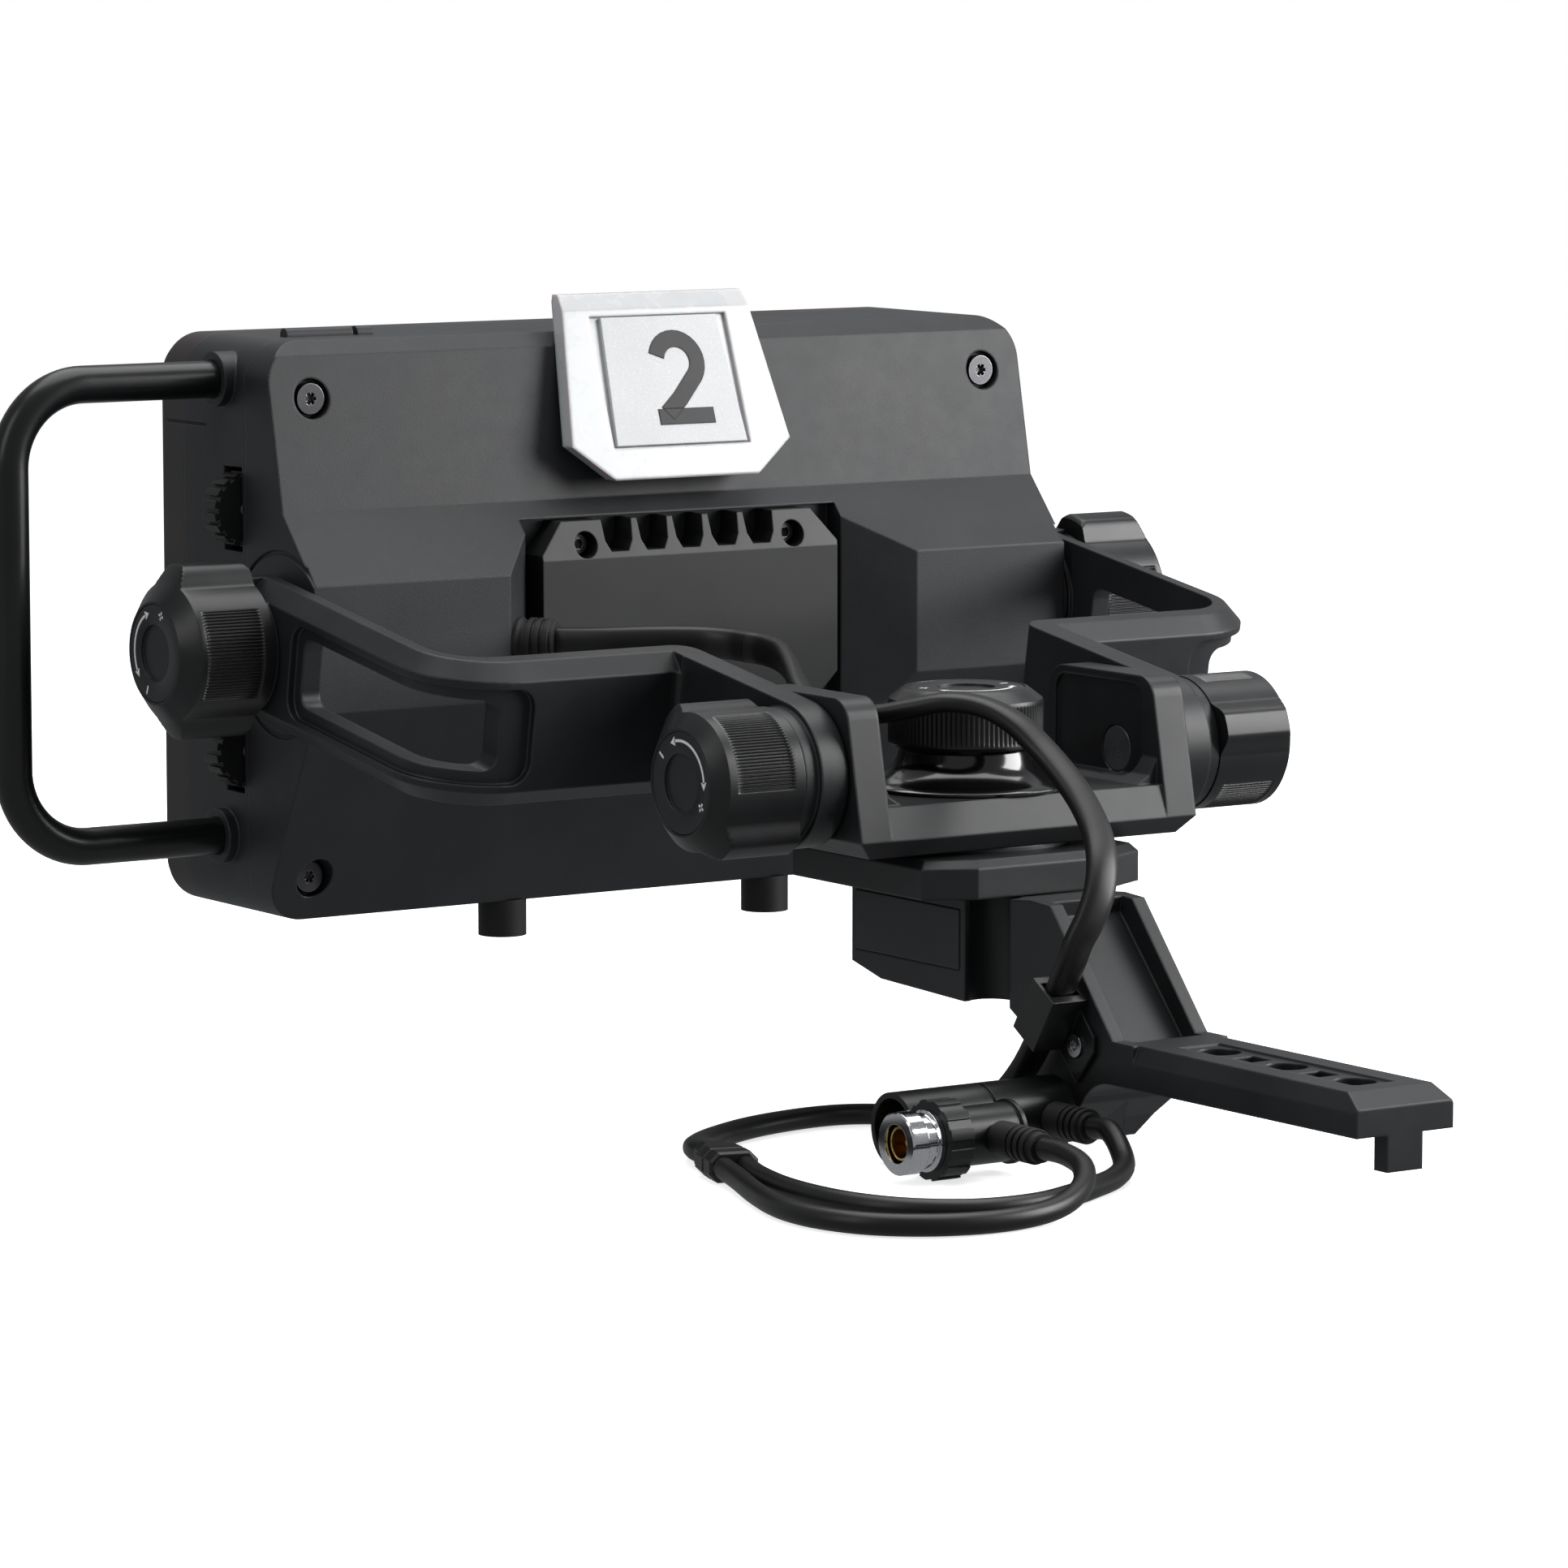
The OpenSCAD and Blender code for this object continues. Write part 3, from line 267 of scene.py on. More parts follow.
finishes = {
    "housing": coated("charcoal_powder_coat", (0.0135, 0.0144, 0.0162), 0.50, 0.34, 0.05,
                      edge=0.9, rub=0.3, round_edges=0.9),
    "bezel": coated("warm_grey_bezel", (0.0234, 0.0193, 0.0180), 0.50, 0.4, 0.04, round_edges=0.8),
    "alloy": coated("bead_blasted_black_alloy", (0.0117, 0.0126, 0.0140), 0.42, 0.26, 0.035,
                    edge=0.8, rub=0.55, round_edges=0.9),
    "release": coated("brushed_release_button", (0.0135, 0.0144, 0.0162), 0.40, 0.3, 0.03, rub=0.5),
    "clip": coated("clip_moulding", (0.0072, 0.0077, 0.0081), 0.32, 0.5, 0.02, rub=0.3),
    "knob": coated("satin_knob", (0.0077, 0.0081, 0.0090), 0.36, 0.3, 0.02, edge=0.4, rub=0.4,
                   round_edges=0.25),
    "cap": coated("knob_cap", (0.0135, 0.0144, 0.0158), 0.44, 0.22, 0.03, rub=0.4, round_edges=0.3),
    "dish": coated("polished_dish", (0.0027, 0.0027, 0.0032), 0.14, 0.5, 0.006, rub=0.2, coat=0.6),
    "vent": coated("vent_alloy", (0.0072, 0.0077, 0.0081), 0.45, 0.26, 0.035, rub=0.5, round_edges=0.5),
    "handle": coated("handle_tube", (0.0045, 0.0049, 0.0054), 0.30, 0.4, 0.012, rub=0.2),
    "wheel": coated("notched_wheel", (0.0063, 0.0067, 0.0072), 0.45, 0.4, 0.03, rub=0.4),
    "button": coated("button_moulding", (0.0135, 0.0144, 0.0162), 0.48, 0.35, 0.04),
    "rubber": coated("dull_rubber", (0.0054, 0.0054, 0.0059), 0.62, 0.45, 0.05, rub=0.15, round_edges=0.3),
    "jacket": coated("cable_jacket", (0.0045, 0.0045, 0.0049), 0.40, 0.6, 0.02, rub=0.1, round_edges=0.1),
    "splitter": coated("splitter_moulding", (0.0059, 0.0059, 0.0063), 0.42, 0.4, 0.03, rub=0.25),
    "plug": coated("plug_satin_black", (0.0054, 0.0059, 0.0063), 0.33, 0.3, 0.02, rub=0.3,
                   round_edges=0.3),
    "washer": coated("acetal_washer", (0.0225, 0.0225, 0.0243), 0.5, 0.5, 0.02),
    "pot": coated("control_body", (0.12, 0.12, 0.125), 0.5, 0.5, 0.02),
    "lcd": coated("display_panel", (0.0054, 0.0059, 0.0067), 0.4, 0.5, 0.01),
    "dark_screw": coated("black_oxide_steel", (0.10, 0.10, 0.105), 0.34, 0.3, 0.015, rub=0.7,
                         round_edges=0.2, metallic=1.0),
    "steel": coated("turned_steel", (0.46, 0.47, 0.48), 0.26, 0.3, 0.012, rub=0.2, round_edges=0.2,
                    metallic=1.0),
    "chrome": coated("bright_plating", (0.66, 0.67, 0.69), 0.12, 0.5, 0.006, rub=0.1,
                     round_edges=0.2, metallic=1.0, mottle=0.08),
    "gold": coated("gold_plating", (0.80, 0.56, 0.20), 0.22, 0.3, 0.006, rub=0.1, round_edges=0.1,
                   metallic=1.0, mottle=0.12),
    "print": coated("white_print", (0.80, 0.81, 0.82), 0.5, 0.3, 0.01, rub=0.0, mottle=0.06),
}
print("coated finishes:", len(finishes))

# %% [markdown]
# Four finishes need something of their own. The circuit board shows tracks, so a brick pattern
# stands for them. The tally lamp is milky plastic that lets light in, which subsurface scattering
# does. Its number plate is a pale satin print. The screen is nearly black coated glass.

# %% Board, lamp, plate and glass
board = Finish("circuit_board")
tracks = board.node("ShaderNodeTexBrick", {"offset": 0.35}, {
    "Vector": board.ground, "Scale": 160.0, "Mortar Size": 0.03}, output="Fac")
board.set(Base_Color=board.blend(tracks, colour(0.012, 0.10, 0.045), colour(0.05, 0.22, 0.10)),
          Roughness=0.38 + board.noise(3.0) * 0.2)
board.relief(tracks, 0.05, 0.5, 0.2)
finishes["board"] = board

lamp = Finish("milky_lamp_plastic")
lamp_cloud = lamp.noise(14.0, 3.0)
lamp.set(Base_Color=lamp.blend(lamp_cloud.within(0.3, 0.7), colour(0.44, 0.45, 0.46),
                               colour(0.50, 0.51, 0.52)),
         Roughness=0.22 + lamp_cloud * 0.12)
lamp.set(Subsurface_Weight=0.35, Subsurface_Scale=0.004, Coat_Weight=0.25)
lamp.relief(lamp.noise(0.8), 0.01, 0.4, 1.3)
finishes["lamp"] = lamp

plate = coated("number_plate", (0.52, 0.525, 0.53), 0.42, 0.4, 0.01, rub=0.1, mottle=0.05)
finishes["plate"] = plate
numeral_ink = coated("numeral_ink", (0.010, 0.010, 0.011), 0.5, 0.4, 0.01, rub=0.0)
finishes["ink"] = numeral_ink

glass = Finish("dark_screen_glass")
smear = glass.noise(30.0, 5.0)
glass.set(Base_Color=glass.blend(smear, colour(0.004, 0.004, 0.005), colour(0.008, 0.009, 0.011)),
          Roughness=0.05 + smear * 0.07)
glass.set(Coat_Weight=0.5, Coat_Roughness=0.03)
glass.relief(glass.noise(60.0), 0.01, 0.2, 0.3)
finishes["glass"] = glass
print("all finishes:", len(finishes))

# %% [markdown]
# The cables come before the other pieces. One flat cable leaves the housing's gland, crosses the
# three pivots and lies along the floor to a splitter. On the real rig it is one piece, but a mesh
# can only bend between two bodies, so we build one span for each body pair. The spans share their
# end points and directions, and meet without a visible seam. Two round leads go on to the plugs.

# %% Cable routes, in drawing millimetres
tilt_route = [(49.92, -122.21, 115.3), (46.6, -118.4, 115.3), (40, -111.5, 115.6), (32.5, -105.5, 115.9),
              (25, -100, 116), (19, -94.5, 115.9), (15.2, -88, 115.6), (14, -82, 115.3)]
tilt_ups = [(0.75, 0.66, 0), (0.75, 0.66, 0), (0.7, 0.7, 0), (0.7, 0.75, 0), (0.75, 0.7, 0),
            (0.85, 0.5, 0), (1, 0.25, 0), (1, 0.1, 0)]
arm_route = [(14, -82, 115.3), (12.8, -76, 115), (14.5, -66, 114.3), (19, -55, 113), (24.5, -43.5, 111),
             (29.5, -33, 109), (32, -26, 107.8), (33, -19, 107.2)]
arm_ups = [(1, 0.1, 0), (1, 0, 0), (1, -0.1, -0.1), (0.9, -0.2, -0.3), (0.8, -0.2, -0.45),
           (0.6, -0.2, -0.7), (0.4, -0.1, -0.85), (0.2, 0, -1)]
pan_route = [(33, -19, 107.2), (34, -12, 106.6), (34, -3, 106.1), (31.5, 5, 106.3), (26.5, 13, 108.3),
             (20.5, 21, 110.3), (14.5, 28.5, 109.3), (10, 36, 105.5), (7, 43.5, 99.5), (5.6, 52, 93),
             (5.4, 60, 86.5), (7, 68, 79.5), (10.5, 74.5, 73.2), (14, 78, 66.5), (17.4, 78.7, 60),
             (20, 77.6, 54.5), (20.8, 75.8, 49.3), (20.8, 71.5, 42.5)]
pan_ups = [(0.2, 0, -1), (0.1, 0, -1), (0, 0, -1), (0, 0, -1), (0, 0, -1), (0, 0, -1), (0, -0.1, -1),
           (0, -0.3, -0.9), (0, -0.5, -0.8), (0, -0.6, -0.8), (0, -0.65, -0.75), (0, -0.7, -0.7),
           (0, -0.8, -0.6), (0, -0.9, -0.4), (0, -1, -0.1), (0, -1, 0.15), (0, -0.9, 0.4),
           (0, -0.85, 0.53)]
floor_route = [(20.8, 71.45, 42.42), (20.8, 62, 27.5), (21.5, 55, 18), (23, 47, 10.5), (25.5, 37, 5),
               (29.5, 25, 2.9), (35, 14, 2.8), (44, 8, 2.8), (57, 7, 2.8), (74, 10.5, 2.8), (90, 18, 2.8),
               (102, 28.5, 3.4), (107.6, 37.6, 4), (109.41, 44.34, 4)]
floor_ups = [(0, -0.85, 0.53), (0, -0.83, 0.55), (0, -0.75, 0.65), (0, -0.6, 0.8), (0, -0.3, 0.95)]
floor_ups += [(0, 0, 1)] * (len(floor_route) - len(floor_ups))
bnc_route = [(117.28, 62.11, 4.1), (120.2, 73, 3.4), (127, 92, 3), (132, 110, 3), (131.5, 126, 3),
             (125, 140, 3), (112, 149.8, 3), (95, 153, 3), (79, 150, 3.8), (66, 142, 6.3), (58.5, 132, 9),
             (56, 121, 10.3), (56, 112, 10.3)]
power_route = [(111.48, 63.66, 4.1), (114.2, 74, 3.4), (116.5, 92, 3), (115, 112, 3), (108, 127.5, 3),
               (95, 138, 3), (79, 140, 3), (65, 135.5, 3), (52.4, 129.1, 3), (40, 121, 3), (31, 112, 4.5),
               (25.5, 99, 9.5), (25.5, 91, 9.5)]
round_up = (0, 0, 1)
all_routes = (tilt_route, arm_route, pan_route, floor_route, bnc_route, power_route)
print("route points:", sum(map(len, all_routes)))

# %% [markdown]
# A line through a few points bends sharply at each one. A Catmull-Rom curve passes through the same
# points with a smooth turn between them, which is how a springy jacket lies. We keep the first and
# last steps straight, so that a span leaves its neighbour in exactly the same direction.

# %% Smooth centre lines
def curve_through(points, steps):
    given = [Vector(p) for p in points]
    before = given[0] * 2 - given[1]
    after = given[-1] * 2 - given[-2]
    padded = [before] + given + [after]
    line = []
    for i in range(1, len(padded) - 2):
        a, b, c, d = padded[i - 1:i + 3]
        for k in range(steps):
            t = k / steps
            line.append(0.5 * (2 * b + (c - a) * t + (2 * a - 5 * b + 4 * c - d) * t * t
                               + (3 * b - a - 3 * c + d) * t ** 3))
    return line + [given[-1]]


def line_length(line):
    return sum((b - a).length for a, b in zip(line, line[1:]))


def oval_ring(centre, heading, up, width, thick, sides, squareness):
    side = heading.cross(up).normalized()
    lift = side.cross(heading).normalized()
    ring = []
    for k in range(sides):
        angle = 2 * math.pi * k / sides
        c, s = math.cos(angle), math.sin(angle)
        x = math.copysign(abs(c) ** squareness, c) * width / 2
        z = math.copysign(abs(s) ** squareness, s) * thick / 2
        ring.append(centre + side * x + lift * z)
    return ring


print("length of the tilt span in millimetres:", round(line_length(curve_through(tilt_route, 6)), 1))

# %% Build the cords
FLAT_W, FLAT_T, LEAD_D = 8.4, 5.2, 5.6
CURVE_STEPS = 6


def cable(name, route, ups, width, thick, body, sides=28, squareness=0.8):
    line = curve_through(route, CURVE_STEPS)
    if len(ups) == 3 and not isinstance(ups[0], tuple):
        ups = [ups] * len(route)
    rings = []
    for i, centre in enumerate(line):
        heading = (line[min(i + 1, len(line) - 1)] - line[max(i - 1, 0)]).normalized()
        whole, part = divmod(i / CURVE_STEPS, 1)
        low = Vector(ups[int(whole)])
        high = Vector(ups[min(int(whole) + 1, len(ups) - 1)])
        up = low.lerp(high, part)
        rings.append([place(*p) for p in oval_ring(centre, heading, up, width, thick, sides, squareness)])
    points, faces = closed_rings(rings)
    piece = add_piece(name, points, faces, body, finishes["jacket"].material)
    path = [place(*p) for p in line]
    print(name, "is", round(line_length(path) * 1000, 1), "mm long")
    return piece, path


tilt_cable, tilt_path = cable("tilt_cable", tilt_route, tilt_ups, FLAT_W, FLAT_T, None)
arm_cable, arm_path = cable("arm_cable", arm_route, arm_ups, FLAT_W, FLAT_T, None)
pan_cable, pan_path = cable("pan_cable", pan_route, pan_ups, FLAT_W, FLAT_T, None)
floor_cable, floor_path = cable("floor_cable", floor_route, floor_ups, FLAT_W, FLAT_T, "foot")
bnc_cable, bnc_path = cable("bnc_cable", bnc_route, round_up, LEAD_D, LEAD_D, "foot", 20, 1.0)
power_cable, power_path = cable("power_cable", power_route, round_up, LEAD_D, LEAD_D, "foot", 20, 1.0)

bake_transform(tilt_cable)
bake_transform(arm_cable)
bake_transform(pan_cable)

for piece, node in ((tilt_cable, "tilt_lead"), (arm_cable, "arm_lead"), (pan_cable, "pan_lead"),
                    (floor_cable, "floor_lead"), (bnc_cable, "bnc_lead"), (power_cable, "power_lead")):
    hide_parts(node)

# %% [markdown]
# The splitter is a small moulded body, narrow where the flat cable enters and wider where the two
# leads leave. A plain box would look like a block, so we loft a rectangle with cut corners through
# several stations, which gives the slanted shoulders and the thin parting flange of the real one.

# %% Splitter
def cut_corner_ring(x, width, height, cut, middle):
    w, h = width / 2, height / 2
    corners = [(w, h - cut), (w - cut, h), (-w + cut, h), (-w, h - cut),
               (-w, -h + cut), (-w + cut, -h), (w - cut, -h), (w, -h + cut)]
    return [(x, y, middle + z) for y, z in corners]


SPLITTER_TURN = math.radians(75)
splitter_place = Matrix.Translation((112, 54, 0)) @ Matrix.Rotation(SPLITTER_TURN, 4, "Z")
stations = [(-10, 7.6, 6.0, 1.6), (-9.2, 9.0, 7.4, 1.8), (-6.2, 9.2, 7.6, 1.9), (-5.4, 9.2, 7.6, 1.9),
            (-3.9, 11.8, 7.7, 2.2), (-3.2, 12.6, 7.8, 2.4), (2.5, 12.8, 7.8, 2.2), (3.0, 12.2, 7.2, 2.1),
            (3.6, 12.2, 7.2, 2.1), (4.1, 12.8, 7.8, 2.2), (8.4, 12.8, 7.8, 2.2), (9.2, 11.6, 6.6, 1.9)]
rings = [[place(*(splitter_place @ Vector(p))) for p in cut_corner_ring(x, w, h, c, 4.1)]
         for x, w, h, c in stations]
points, faces = closed_rings(rings)
splitter = add_piece("splitter", points, faces, "foot", finishes["splitter"].material,
                     math.radians(20))
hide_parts("y_splitter")
print("splitter stations:", len(stations))

line_length(tilt_path)
line_length(arm_path)
line_length(pan_path)
line_length(floor_path)
line_length(bnc_path)
line_length(power_path)

# %% [markdown]
# Now the carried-over nodes. Each keeps its CAD mesh and gets a finish in its material slot. A table
# from finish to nodes is easier to check than sixty separate lines, and one loop does the work.

# %% Finishes of the kept nodes
worn_by = {
    "alloy": ["foot_bracket", "pan_base", "yoke", "link_arm_left", "link_arm_right"],
    "release": ["quick_release"], "clip": ["cable_clip"],
    "steel": ["clip_screw", "pan_bolt", "pivot_bolts", "tilt_studs"],
    "washer": ["pan_washer", "tilt_washers"], "bezel": ["front_bezel"], "glass": ["screen_glass"],
    "lcd": ["lcd_panel"], "housing": ["mid_body", "rear_cover"],
    "board": ["main_board", "tally_board"], "dark_screw": ["cover_screws", "vent_screws"],
    "vent": ["vent_plate"], "lamp": ["tally_lens"], "plate": ["tally_label"], "handle": ["handle"],
    "wheel": ["brightness_wheel", "contrast_wheel", "peaking_wheel"], "pot": ["control_pots"],
    "button": ["long_button", "short_button"],
    "rubber": ["rubber_feet", "cable_gland", "bnc_boot", "power_boot"],
    "plug": ["bnc_elbow", "bnc_collar", "power_shell"], "chrome": ["bnc_sleeve"],
    "gold": ["bnc_contacts", "power_pins"],
}
for finish_name, members in worn_by.items():
    for member in members:
        for patch in nodes[member].material_slots:
            patch.material = finishes[finish_name].material
print("dressed nodes:", sum(map(len, worn_by.values())))

# %% [markdown]
# A friction knob is gripped by two lobes and two patches of fine ribs. The outline is a radius for
# each angle: a circle, two soft bumps, and a fast wave for the ribs. The side view is another
# radius, for each height. Taking the smaller of the two at every point carves one by the other, as
# turning a milled bar on a lathe would. A soft minimum rounds the edge where they meet.

# %% Knob surface
AROUND = 768
RIBS = 128


def soft_least(a, b, softness=0.35):
    gap = max(softness - abs(a - b), 0.0) / softness
    return min(a, b) - gap * gap * softness * 0.25


def rise(value, low, high):
    t = min(max((value - low) / (high - low), 0.0), 1.0)
    return t * t * (3 - 2 * t)


def lobe_radius(angle, body_r, lobe_r):
    from_lobe = abs((math.degrees(angle) + 90) % 180 - 90)
    return body_r + (lobe_r - body_r) * (1 - rise(from_lobe, 6.5, 25))


def rib_depth(angle, height, low, high, start):
    from_lobe = abs((math.degrees(angle) + 90) % 180 - 90)
    patch = rise(from_lobe, start, start + 3)
    along = rise(height, low, low + 0.7) * (1 - rise(height, high - 0.7, high))
    wave = 0.5 - 0.5 * math.cos(angle * RIBS)
    return 0.55 * patch * along * min(1.0, wave * 1.6)


def side_radius(profile, height):
    for (r0, z0), (r1, z1) in zip(profile, profile[1:]):
        if z0 <= height <= z1:
            return r0 + (r1 - r0) * (height - z0) / max(z1 - z0, 1e-6)
    return profile[-1][0]


def turned_part(heights, radius, inner_before, inner_after):
    """Rings from the bore, over the outside and down into the top recess."""
    levels = [("plain", r, z) for r, z in inner_before]
    levels += [("shaped", 0.0, z) for z in heights]
    levels += [("plain", r, z) for r, z in inner_after]
    rings = []
    for kind, r, z in levels:
        ring = []
        for k in range(AROUND):
            angle = 2 * math.pi * k / AROUND
            reach = r if kind == "plain" else radius(angle, z)
            ring.append(Vector((reach * math.cos(angle), reach * math.sin(angle), z)))
        rings.append(ring)
    return closed_rings(rings)


knob_profile = [(22.2, 0.0), (23.6, 1.3), (23.6, 19.6), (19.0, 22.4), (14.4, 26.1), (13.9, 26.5)]


def knob_shape(body_r, lobe_r):
    def radius(angle, z):
        outline = lobe_radius(angle, body_r, lobe_r) - rib_depth(angle, z, 3.2, 20.6, 50)
        return soft_least(outline, side_radius(knob_profile, z))
    return turned_part(knob_heights, radius, [(4.05, 20.0), (4.05, 0.0)],
                       [(13.45, 26.5), (13.25, 26.3), (13.25, 24.1)])


knob_heights = [0, 0.3, 0.8, 1.4, 2.2, 3.2, 3.55, 3.9, 5.5, 8, 11, 14, 17, 19, 19.6, 20.1, 20.6, 21.2,
                21.8, 22.4, 23.0, 24.2, 25.4, 26.1, 26.5]
tilt_shape = knob_shape(19.0, 23.5)
pivot_shape = knob_shape(18.0, 21.5)
print("points in one knob:", len(tilt_shape[0]))

# %% [markdown]
# The cap is a flat disc let into the knob's end, with a round dimple in its middle and a printed
# double arrow that shows which way to turn. Print has almost no thickness. We make it as thin raised
# shapes, 0.06 mm high, so that it stays sharp from any distance and goes with the model on export.

# %% Cap surface and its print
def disc_rings(profile, around=96):
    rings = []
    for r, z in profile:
        angles = [2 * math.pi * k / around for k in range(around)]
        rings.append([Vector((r * math.cos(a), r * math.sin(a), z)) for a in angles])
    return closed_rings(rings)


def raised(outline, low, high):
    """A thin flat solid from a closed outline of (x, y) points."""
    count = len(outline)
    points = [Vector((x, y, low)) for x, y in outline] + [Vector((x, y, high)) for x, y in outline]
    faces = [tuple(range(count - 1, -1, -1)), tuple(range(count, 2 * count))]
    faces += [(k, (k + 1) % count, count + (k + 1) % count, count + k) for k in range(count)]
    return points, faces


def joined(parts):
    points, faces = [], []
    for more_points, more_faces in parts:
        start = len(points)
        points += more_points
        faces += [tuple(start + i for i in face) for face in more_faces]
    return points, faces


def turn_marks(radius, first, last, minus, plus, low, size=1.0):
    """A double-headed arrow and the two signs. Angles in degrees, anticlockwise from +x."""
    half = 0.38 * size
    head = math.degrees(1.9 * size / radius)
    sweep = [math.radians(first + head + (last - first - 2 * head) * k / 24) for k in range(25)]
    outer = [((radius + half) * math.cos(a), (radius + half) * math.sin(a)) for a in sweep]
    inner = [((radius - half) * math.cos(a), (radius - half) * math.sin(a)) for a in sweep]
    parts = [raised(outer + inner[::-1], low, low + 0.06)]
    for tip, back in ((first, first + head * 1.15), (last, last - head * 1.15)):
        t, b = math.radians(tip), math.radians(back)
        corners = [(radius * math.cos(t), radius * math.sin(t)),
                   ((radius + 1.25 * size) * math.cos(b), (radius + 1.25 * size) * math.sin(b)),
                   ((radius - 1.25 * size) * math.cos(b), (radius - 1.25 * size) * math.sin(b))]
        if tip > back:
            corners.reverse()
        parts.append(raised(corners, low, low + 0.06))
    for angle, crossed in ((minus, False), (plus, True)):
        a = math.radians(angle)
        out = Vector((math.cos(a), math.sin(a)))
        along = Vector((-math.sin(a), math.cos(a)))
        middle = out * radius
        bars = [(out, along)] + ([(along, out)] if crossed else [])
        for long_way, wide_way in bars:
            corners = [middle + long_way * x * 1.2 * size + wide_way * y * 0.32 * size
                       for x, y in ((-1, -1), (1, -1), (1, 1), (-1, 1))]
            if not long_way.x * wide_way.y - long_way.y * wide_way.x > 0:
                corners.reverse()
            parts.append(raised([tuple(c) for c in corners], low, low + 0.06))
    return joined(parts)


cap_profile = [(13.0, 24.15), (13.2, 24.3), (13.2, 26.2), (12.9, 26.4), (8.0, 26.4), (7.75, 26.25),
               (7.7, 25.5)]
cap_points, cap_faces = disc_rings(cap_profile)
print("points in one cap:", len(cap_points))

# %% [markdown]
# Four side knobs share two shapes, because the pivot pair is a little slimmer. Each stands on a
# pivot, turned outwards to its own side, so a matrix places it: first the knob's own turn, then the
# quarter turn to point along X, then the move.

# %% Place the side knobs
ARM_LEN, ARM_SLOPE = 151.0, math.radians(9.3)
PIVOT_Y, PIVOT_Z = 5.4, 92.5
tilt_y = PIVOT_Y - ARM_LEN * math.cos(ARM_SLOPE)
tilt_z = PIVOT_Z + ARM_LEN * math.sin(ARM_SLOPE)


def standing(points, matrix):
    return [place(*(matrix @ p)) for p in points]


def side_knob(name, shape, side, x, y, z, turn, marks):
    out = Matrix.Translation((side * x, y, z)) @ Matrix.Rotation(side * math.pi / 2, 4, "Y")
    spun = out @ Matrix.Rotation(math.radians(turn), 4, "Z")
    body = name
    cap_name = name.replace("knob", "cap")
    grip = add_piece(name + "_grip", standing(shape[0], spun), shape[1], body,
                     finishes["knob"].material)
    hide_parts(name)
    cap = add_piece(cap_name + "_disc", standing(cap_points, out), cap_faces, body,
                    finishes["cap"].material)
    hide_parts(cap_name)
    mark_points, mark_faces = turn_marks(10.9, *marks, 26.4)
    add_piece(cap_name + "_print", standing(mark_points, out), mark_faces, body,
              finishes["print"].material)


# Angles on a left cap run from -Z towards +Y, so straight up is 180 and the rear is 90.
side_knob("pivot_knob_left", pivot_shape, 1, 66.4, PIVOT_Y, PIVOT_Z, 35, (85, 205, 234, 61))
side_knob("pivot_knob_right", pivot_shape, -1, 66.4, PIVOT_Y, PIVOT_Z, 72, (-25, 95, 124, -54))
side_knob("tilt_knob_left", tilt_shape, 1, 136.4, tilt_y, tilt_z, 0, (195, 310, 338, 160))
side_knob("tilt_knob_right", tilt_shape, -1, 136.4, tilt_y, tilt_z, 12, (-25, 95, 124, -54))
print("tilt pivot at", round(tilt_y, 1), round(tilt_z, 1))

# %% [markdown]
# The pan knob stands on the dish that the next cell makes. It is rounder than the side knobs, with a
# deep bevel round its top and ribs all the way down its side, so it reuses the same tools with
# other numbers.

# %% Pan knob
PAN_Z = 96.0
pan_profile = [(19.6, 0.0), (20.5, 0.9), (20.5, 11.4), (20.2, 12.4), (16.4, 15.3), (15.9, 15.4)]


def pan_radius(angle, z):
    outline = 20.5 - 0.35 * (0.5 - 0.5 * math.cos(angle * 96)) * rise(z, 1.2, 2.0) * (1 - rise(z, 10.6, 11.4))
    return soft_least(outline, side_radius(pan_profile, z), 0.2)


pan_heights = [0, 0.4, 0.9, 1.2, 1.6, 2.0, 5, 8, 10.6, 11.0, 11.4, 11.9, 12.4, 13.2, 14.4, 15.3, 15.4]
pan_points, pan_faces = turned_part(pan_heights, pan_radius, [(5.05, 9.9), (5.05, 0.0)],
                                    [(15.6, 15.4), (15.5, 15.25), (15.5, 13.4)])
upright = Matrix.Translation((0, 0, PAN_Z))
pan_grip = add_piece("pan_knob_grip", standing(pan_points, upright), pan_faces, "pan_knob",
                     finishes["knob"].material)
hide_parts("pan_knob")
pan_cap_profile = [(15.2, 13.45), (15.4, 13.6), (15.4, 15.15), (15.1, 15.3), (8.0, 15.3), (7.75, 15.2),
                   (7.7, 14.4)]
pan_cap_points, pan_cap_faces = disc_rings(pan_cap_profile)
pan_cap = add_piece("pan_cap_disc", standing(pan_cap_points, upright), pan_cap_faces, "pan_knob",
                    finishes["cap"].material)
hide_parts("pan_knob_cap")
mark_points, mark_faces = turn_marks(12.2, 20, 150, 180, -10, 15.3)
add_piece("pan_cap_print", standing(mark_points, upright), mark_faces, "pan_knob",
          finishes["print"].material)
print("pan knob points:", len(pan_points))

# %% [markdown]
# Under the pan knob, a polished dish flares out to the yoke. The frame's dish has straight slopes,
# so we turn a smoother one round the same bore. Its last ring joins its first, which leaves the
# hole open for the bolt.

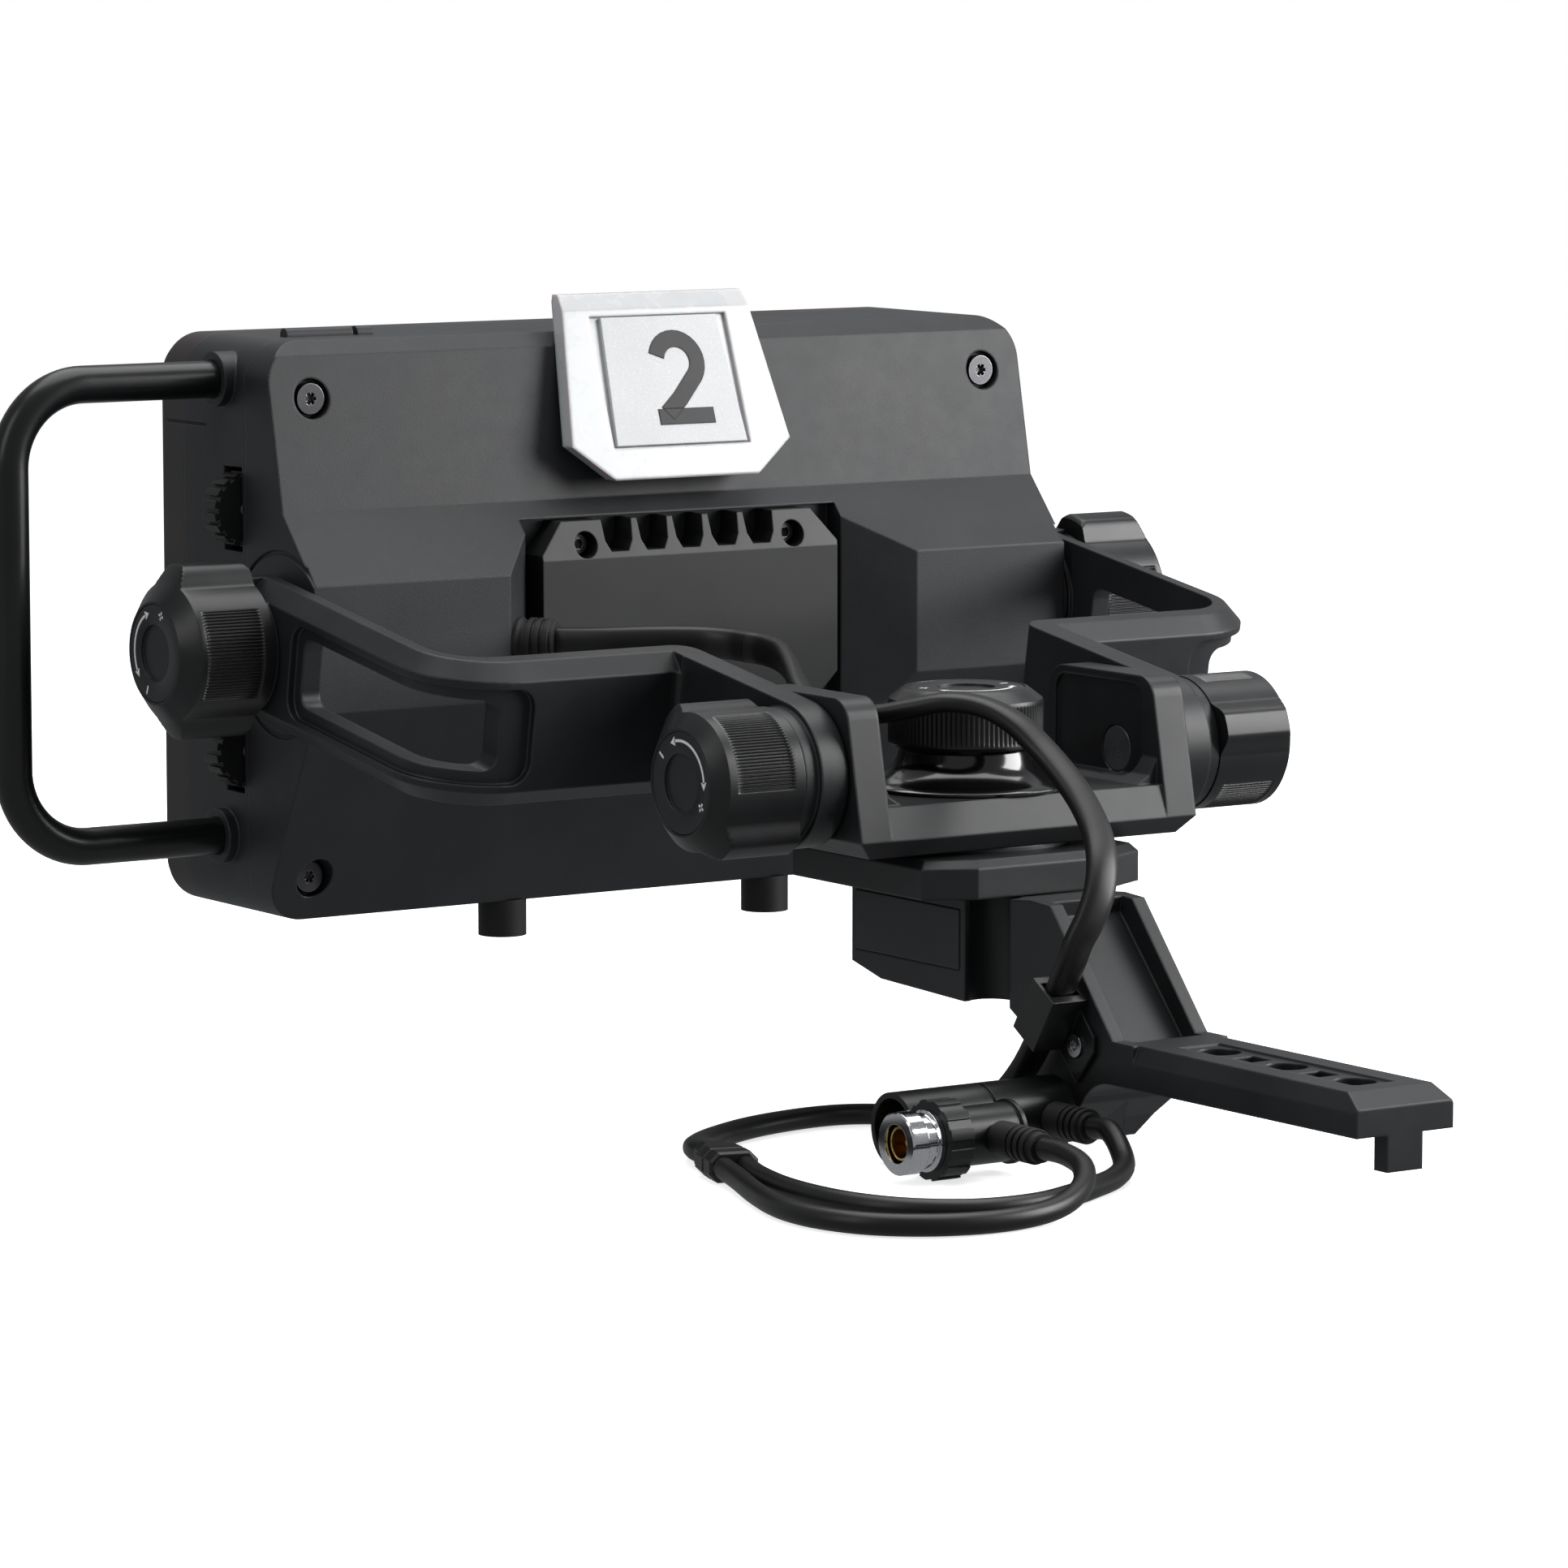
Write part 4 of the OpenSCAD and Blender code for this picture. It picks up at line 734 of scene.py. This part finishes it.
# %% Smooth dish
DISH_SIDES = 192
dish_profile = [(5.05, 85.0), (27.8, 85.0), (28.0, 85.3), (28.0, 86.0), (27.4, 86.4), (25.0, 87.0),
                (23.0, 87.8), (21.5, 88.6), (20.0, 89.8), (19.0, 91.0), (18.2, 92.6), (17.8, 94.0),
                (17.4, 95.2), (5.05, 95.2)]
dish_angles = [math.tau * k / DISH_SIDES for k in range(DISH_SIDES)]
dish_rings = [[Vector((r * math.cos(a), r * math.sin(a), z)) for a in dish_angles]
              for r, z in dish_profile]
dish_points = [p for ring in dish_rings for p in ring]
dish_faces = ring_faces(len(dish_rings), DISH_SIDES)
last_ring = (len(dish_rings) - 1) * DISH_SIDES
dish_faces += [(last_ring + k, last_ring + (k + 1) % DISH_SIDES, (k + 1) % DISH_SIDES, k)
               for k in range(DISH_SIDES)]
dish = add_piece("smooth_dish", standing(dish_points, Matrix.Identity(4)), dish_faces, "yoke",
                 finishes["dish"].material)
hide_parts("friction_dish")
print("dish rings:", len(dish_rings))

# %% [markdown]
# The tally plate carries the camera's number. A numeral is a stroke of constant width, so we write
# down its centre line, an arc, a slant and a foot, and thicken it to both sides. It lies on the
# plate, which leans back by 20 degrees and faces the rear, where the stage can read it. It sits a
# little to one side of the plate's middle.

# %% Tally numeral
STROKE = 5.0
arc_centre = Vector((0.0, 5.2))
ARC_R = 6.6
middle_line = []
for k in range(17):
    a = math.radians(165 - k * 205 / 16)
    middle_line.append(arc_centre + Vector((math.cos(a), math.sin(a))) * ARC_R)
middle_line += [Vector((-1.2, -5.6)), Vector((-6.2, -9.8))]


def thickened(line, width):
    left, right = [], []
    for i, p in enumerate(line):
        heading = (line[min(i + 1, len(line) - 1)] - line[max(i - 1, 0)]).normalized()
        side = Vector((-heading.y, heading.x)) * width / 2
        left.append(tuple(p + side))
        right.append(tuple(p - side))
    return left + right[::-1]


PLATE_FACE = 0.45
PLATE_LEAN = math.radians(20.1)
NUMERAL_SHIFT = -3.2
lean = (Matrix.Translation((NUMERAL_SHIFT, -142.4, 184)) @ Matrix.Rotation(PLATE_LEAN, 4, "X")
        @ Matrix.Translation((0, PLATE_FACE, 0)) @ Matrix.Rotation(math.radians(-90), 4, "X")
        @ Matrix.Rotation(math.radians(180), 4, "Z"))
foot_bar = [(-9.2, -13.0), (9.0, -13.0), (9.0, -8.4), (-9.2, -8.4)]
numeral_points, numeral_faces = joined([raised(thickened(middle_line, STROKE), 0.0, 0.10),
                                        raised(foot_bar, 0.0, 0.11)])
add_piece("tally_numeral", standing(numeral_points, lean), numeral_faces, "display",
          finishes["ink"].material)
print("numeral points:", len(numeral_points))

# %% [markdown]
# Product light is soft and comes from large panels: one high and wide, one close at the side that
# brightens one half of the housing, and a weak strip on the other side. The floor glows a little,
# so that it runs into the white sky with no horizon, and lights nothing else. The sky is white to
# the camera, but dim to the object, so black stays black.

# %% Floor, sky and lamps
FLOOR_GLOW = 0.72
FLOOR_HALF = 2.5


def pale_floor():
    made = Finish("pale_floor")
    made.set(Base_Color=made.blend(made.noise(400.0), colour(0.86, 0.86, 0.865), colour(0.88, 0.88, 0.885)),
             Roughness=0.85)
    made.set(Emission_Color=colour(1, 1, 1), Emission_Strength=FLOOR_GLOW)
    size = FLOOR_HALF
    mesh = bpy.data.meshes.new("floor")
    mesh.from_pydata([(-size, -size, FLOOR_Z), (size, -size, FLOOR_Z), (size, size, FLOOR_Z),
                      (-size, size, FLOOR_Z)], [], [(0, 1, 2, 3)])
    mesh.materials.append(made.material)
    sheet = bpy.data.objects.new("floor", mesh)
    bpy.context.scene.collection.objects.link(sheet)
    sheet.visible_diffuse = False
    sheet.visible_glossy = False


def panel_light(name, where, aim, width, height, watts):
    panel = bpy.data.lights.new(name, "AREA")
    panel.shape = "RECTANGLE"
    panel.size, panel.size_y = width, height
    panel.energy = watts
    lamp_object = bpy.data.objects.new(name, panel)
    lamp_object.location = where
    lamp_object.rotation_euler = (Vector(where) - Vector(aim)).to_track_quat("Z", "Y").to_euler()
    bpy.context.scene.collection.objects.link(lamp_object)


pale_floor()
AIM = (0.0, -0.2, 0.09)
panel_light("high_panel", (-0.2, -0.4, 1.5), AIM, 1.5, 1.5, 24)
panel_light("side_panel", (-0.8, 0.4, 0.45), AIM, 0.6, 0.7, 16)
panel_light("left_strip", (1.5, -0.1, 0.9), AIM, 0.4, 1.2, 4)

sky = bpy.data.worlds.new("studio")
bpy.context.scene.world = sky
sky.use_nodes = True
sky_nodes, sky_links = sky.node_tree.nodes, sky.node_tree.links
seen = sky_nodes["Background"]
seen.inputs["Color"].default_value = colour(1, 1, 1)
seen.inputs["Strength"].default_value = 1.0
ambient = sky_nodes.new("ShaderNodeBackground")
ambient.inputs["Color"].default_value = colour(0.96, 0.98, 1.0)
ambient.inputs["Strength"].default_value = 0.32
rays = sky_nodes.new("ShaderNodeLightPath")
either = sky_nodes.new("ShaderNodeMixShader")
sky_links.new(rays.outputs["Is Camera Ray"], either.inputs[0])
sky_links.new(ambient.outputs[0], either.inputs[1])
sky_links.new(seen.outputs[0], either.inputs[2])
sky_links.new(either.outputs[0], sky_nodes["World Output"].inputs["Surface"])
bpy.context.scene.view_settings.view_transform = "Standard"
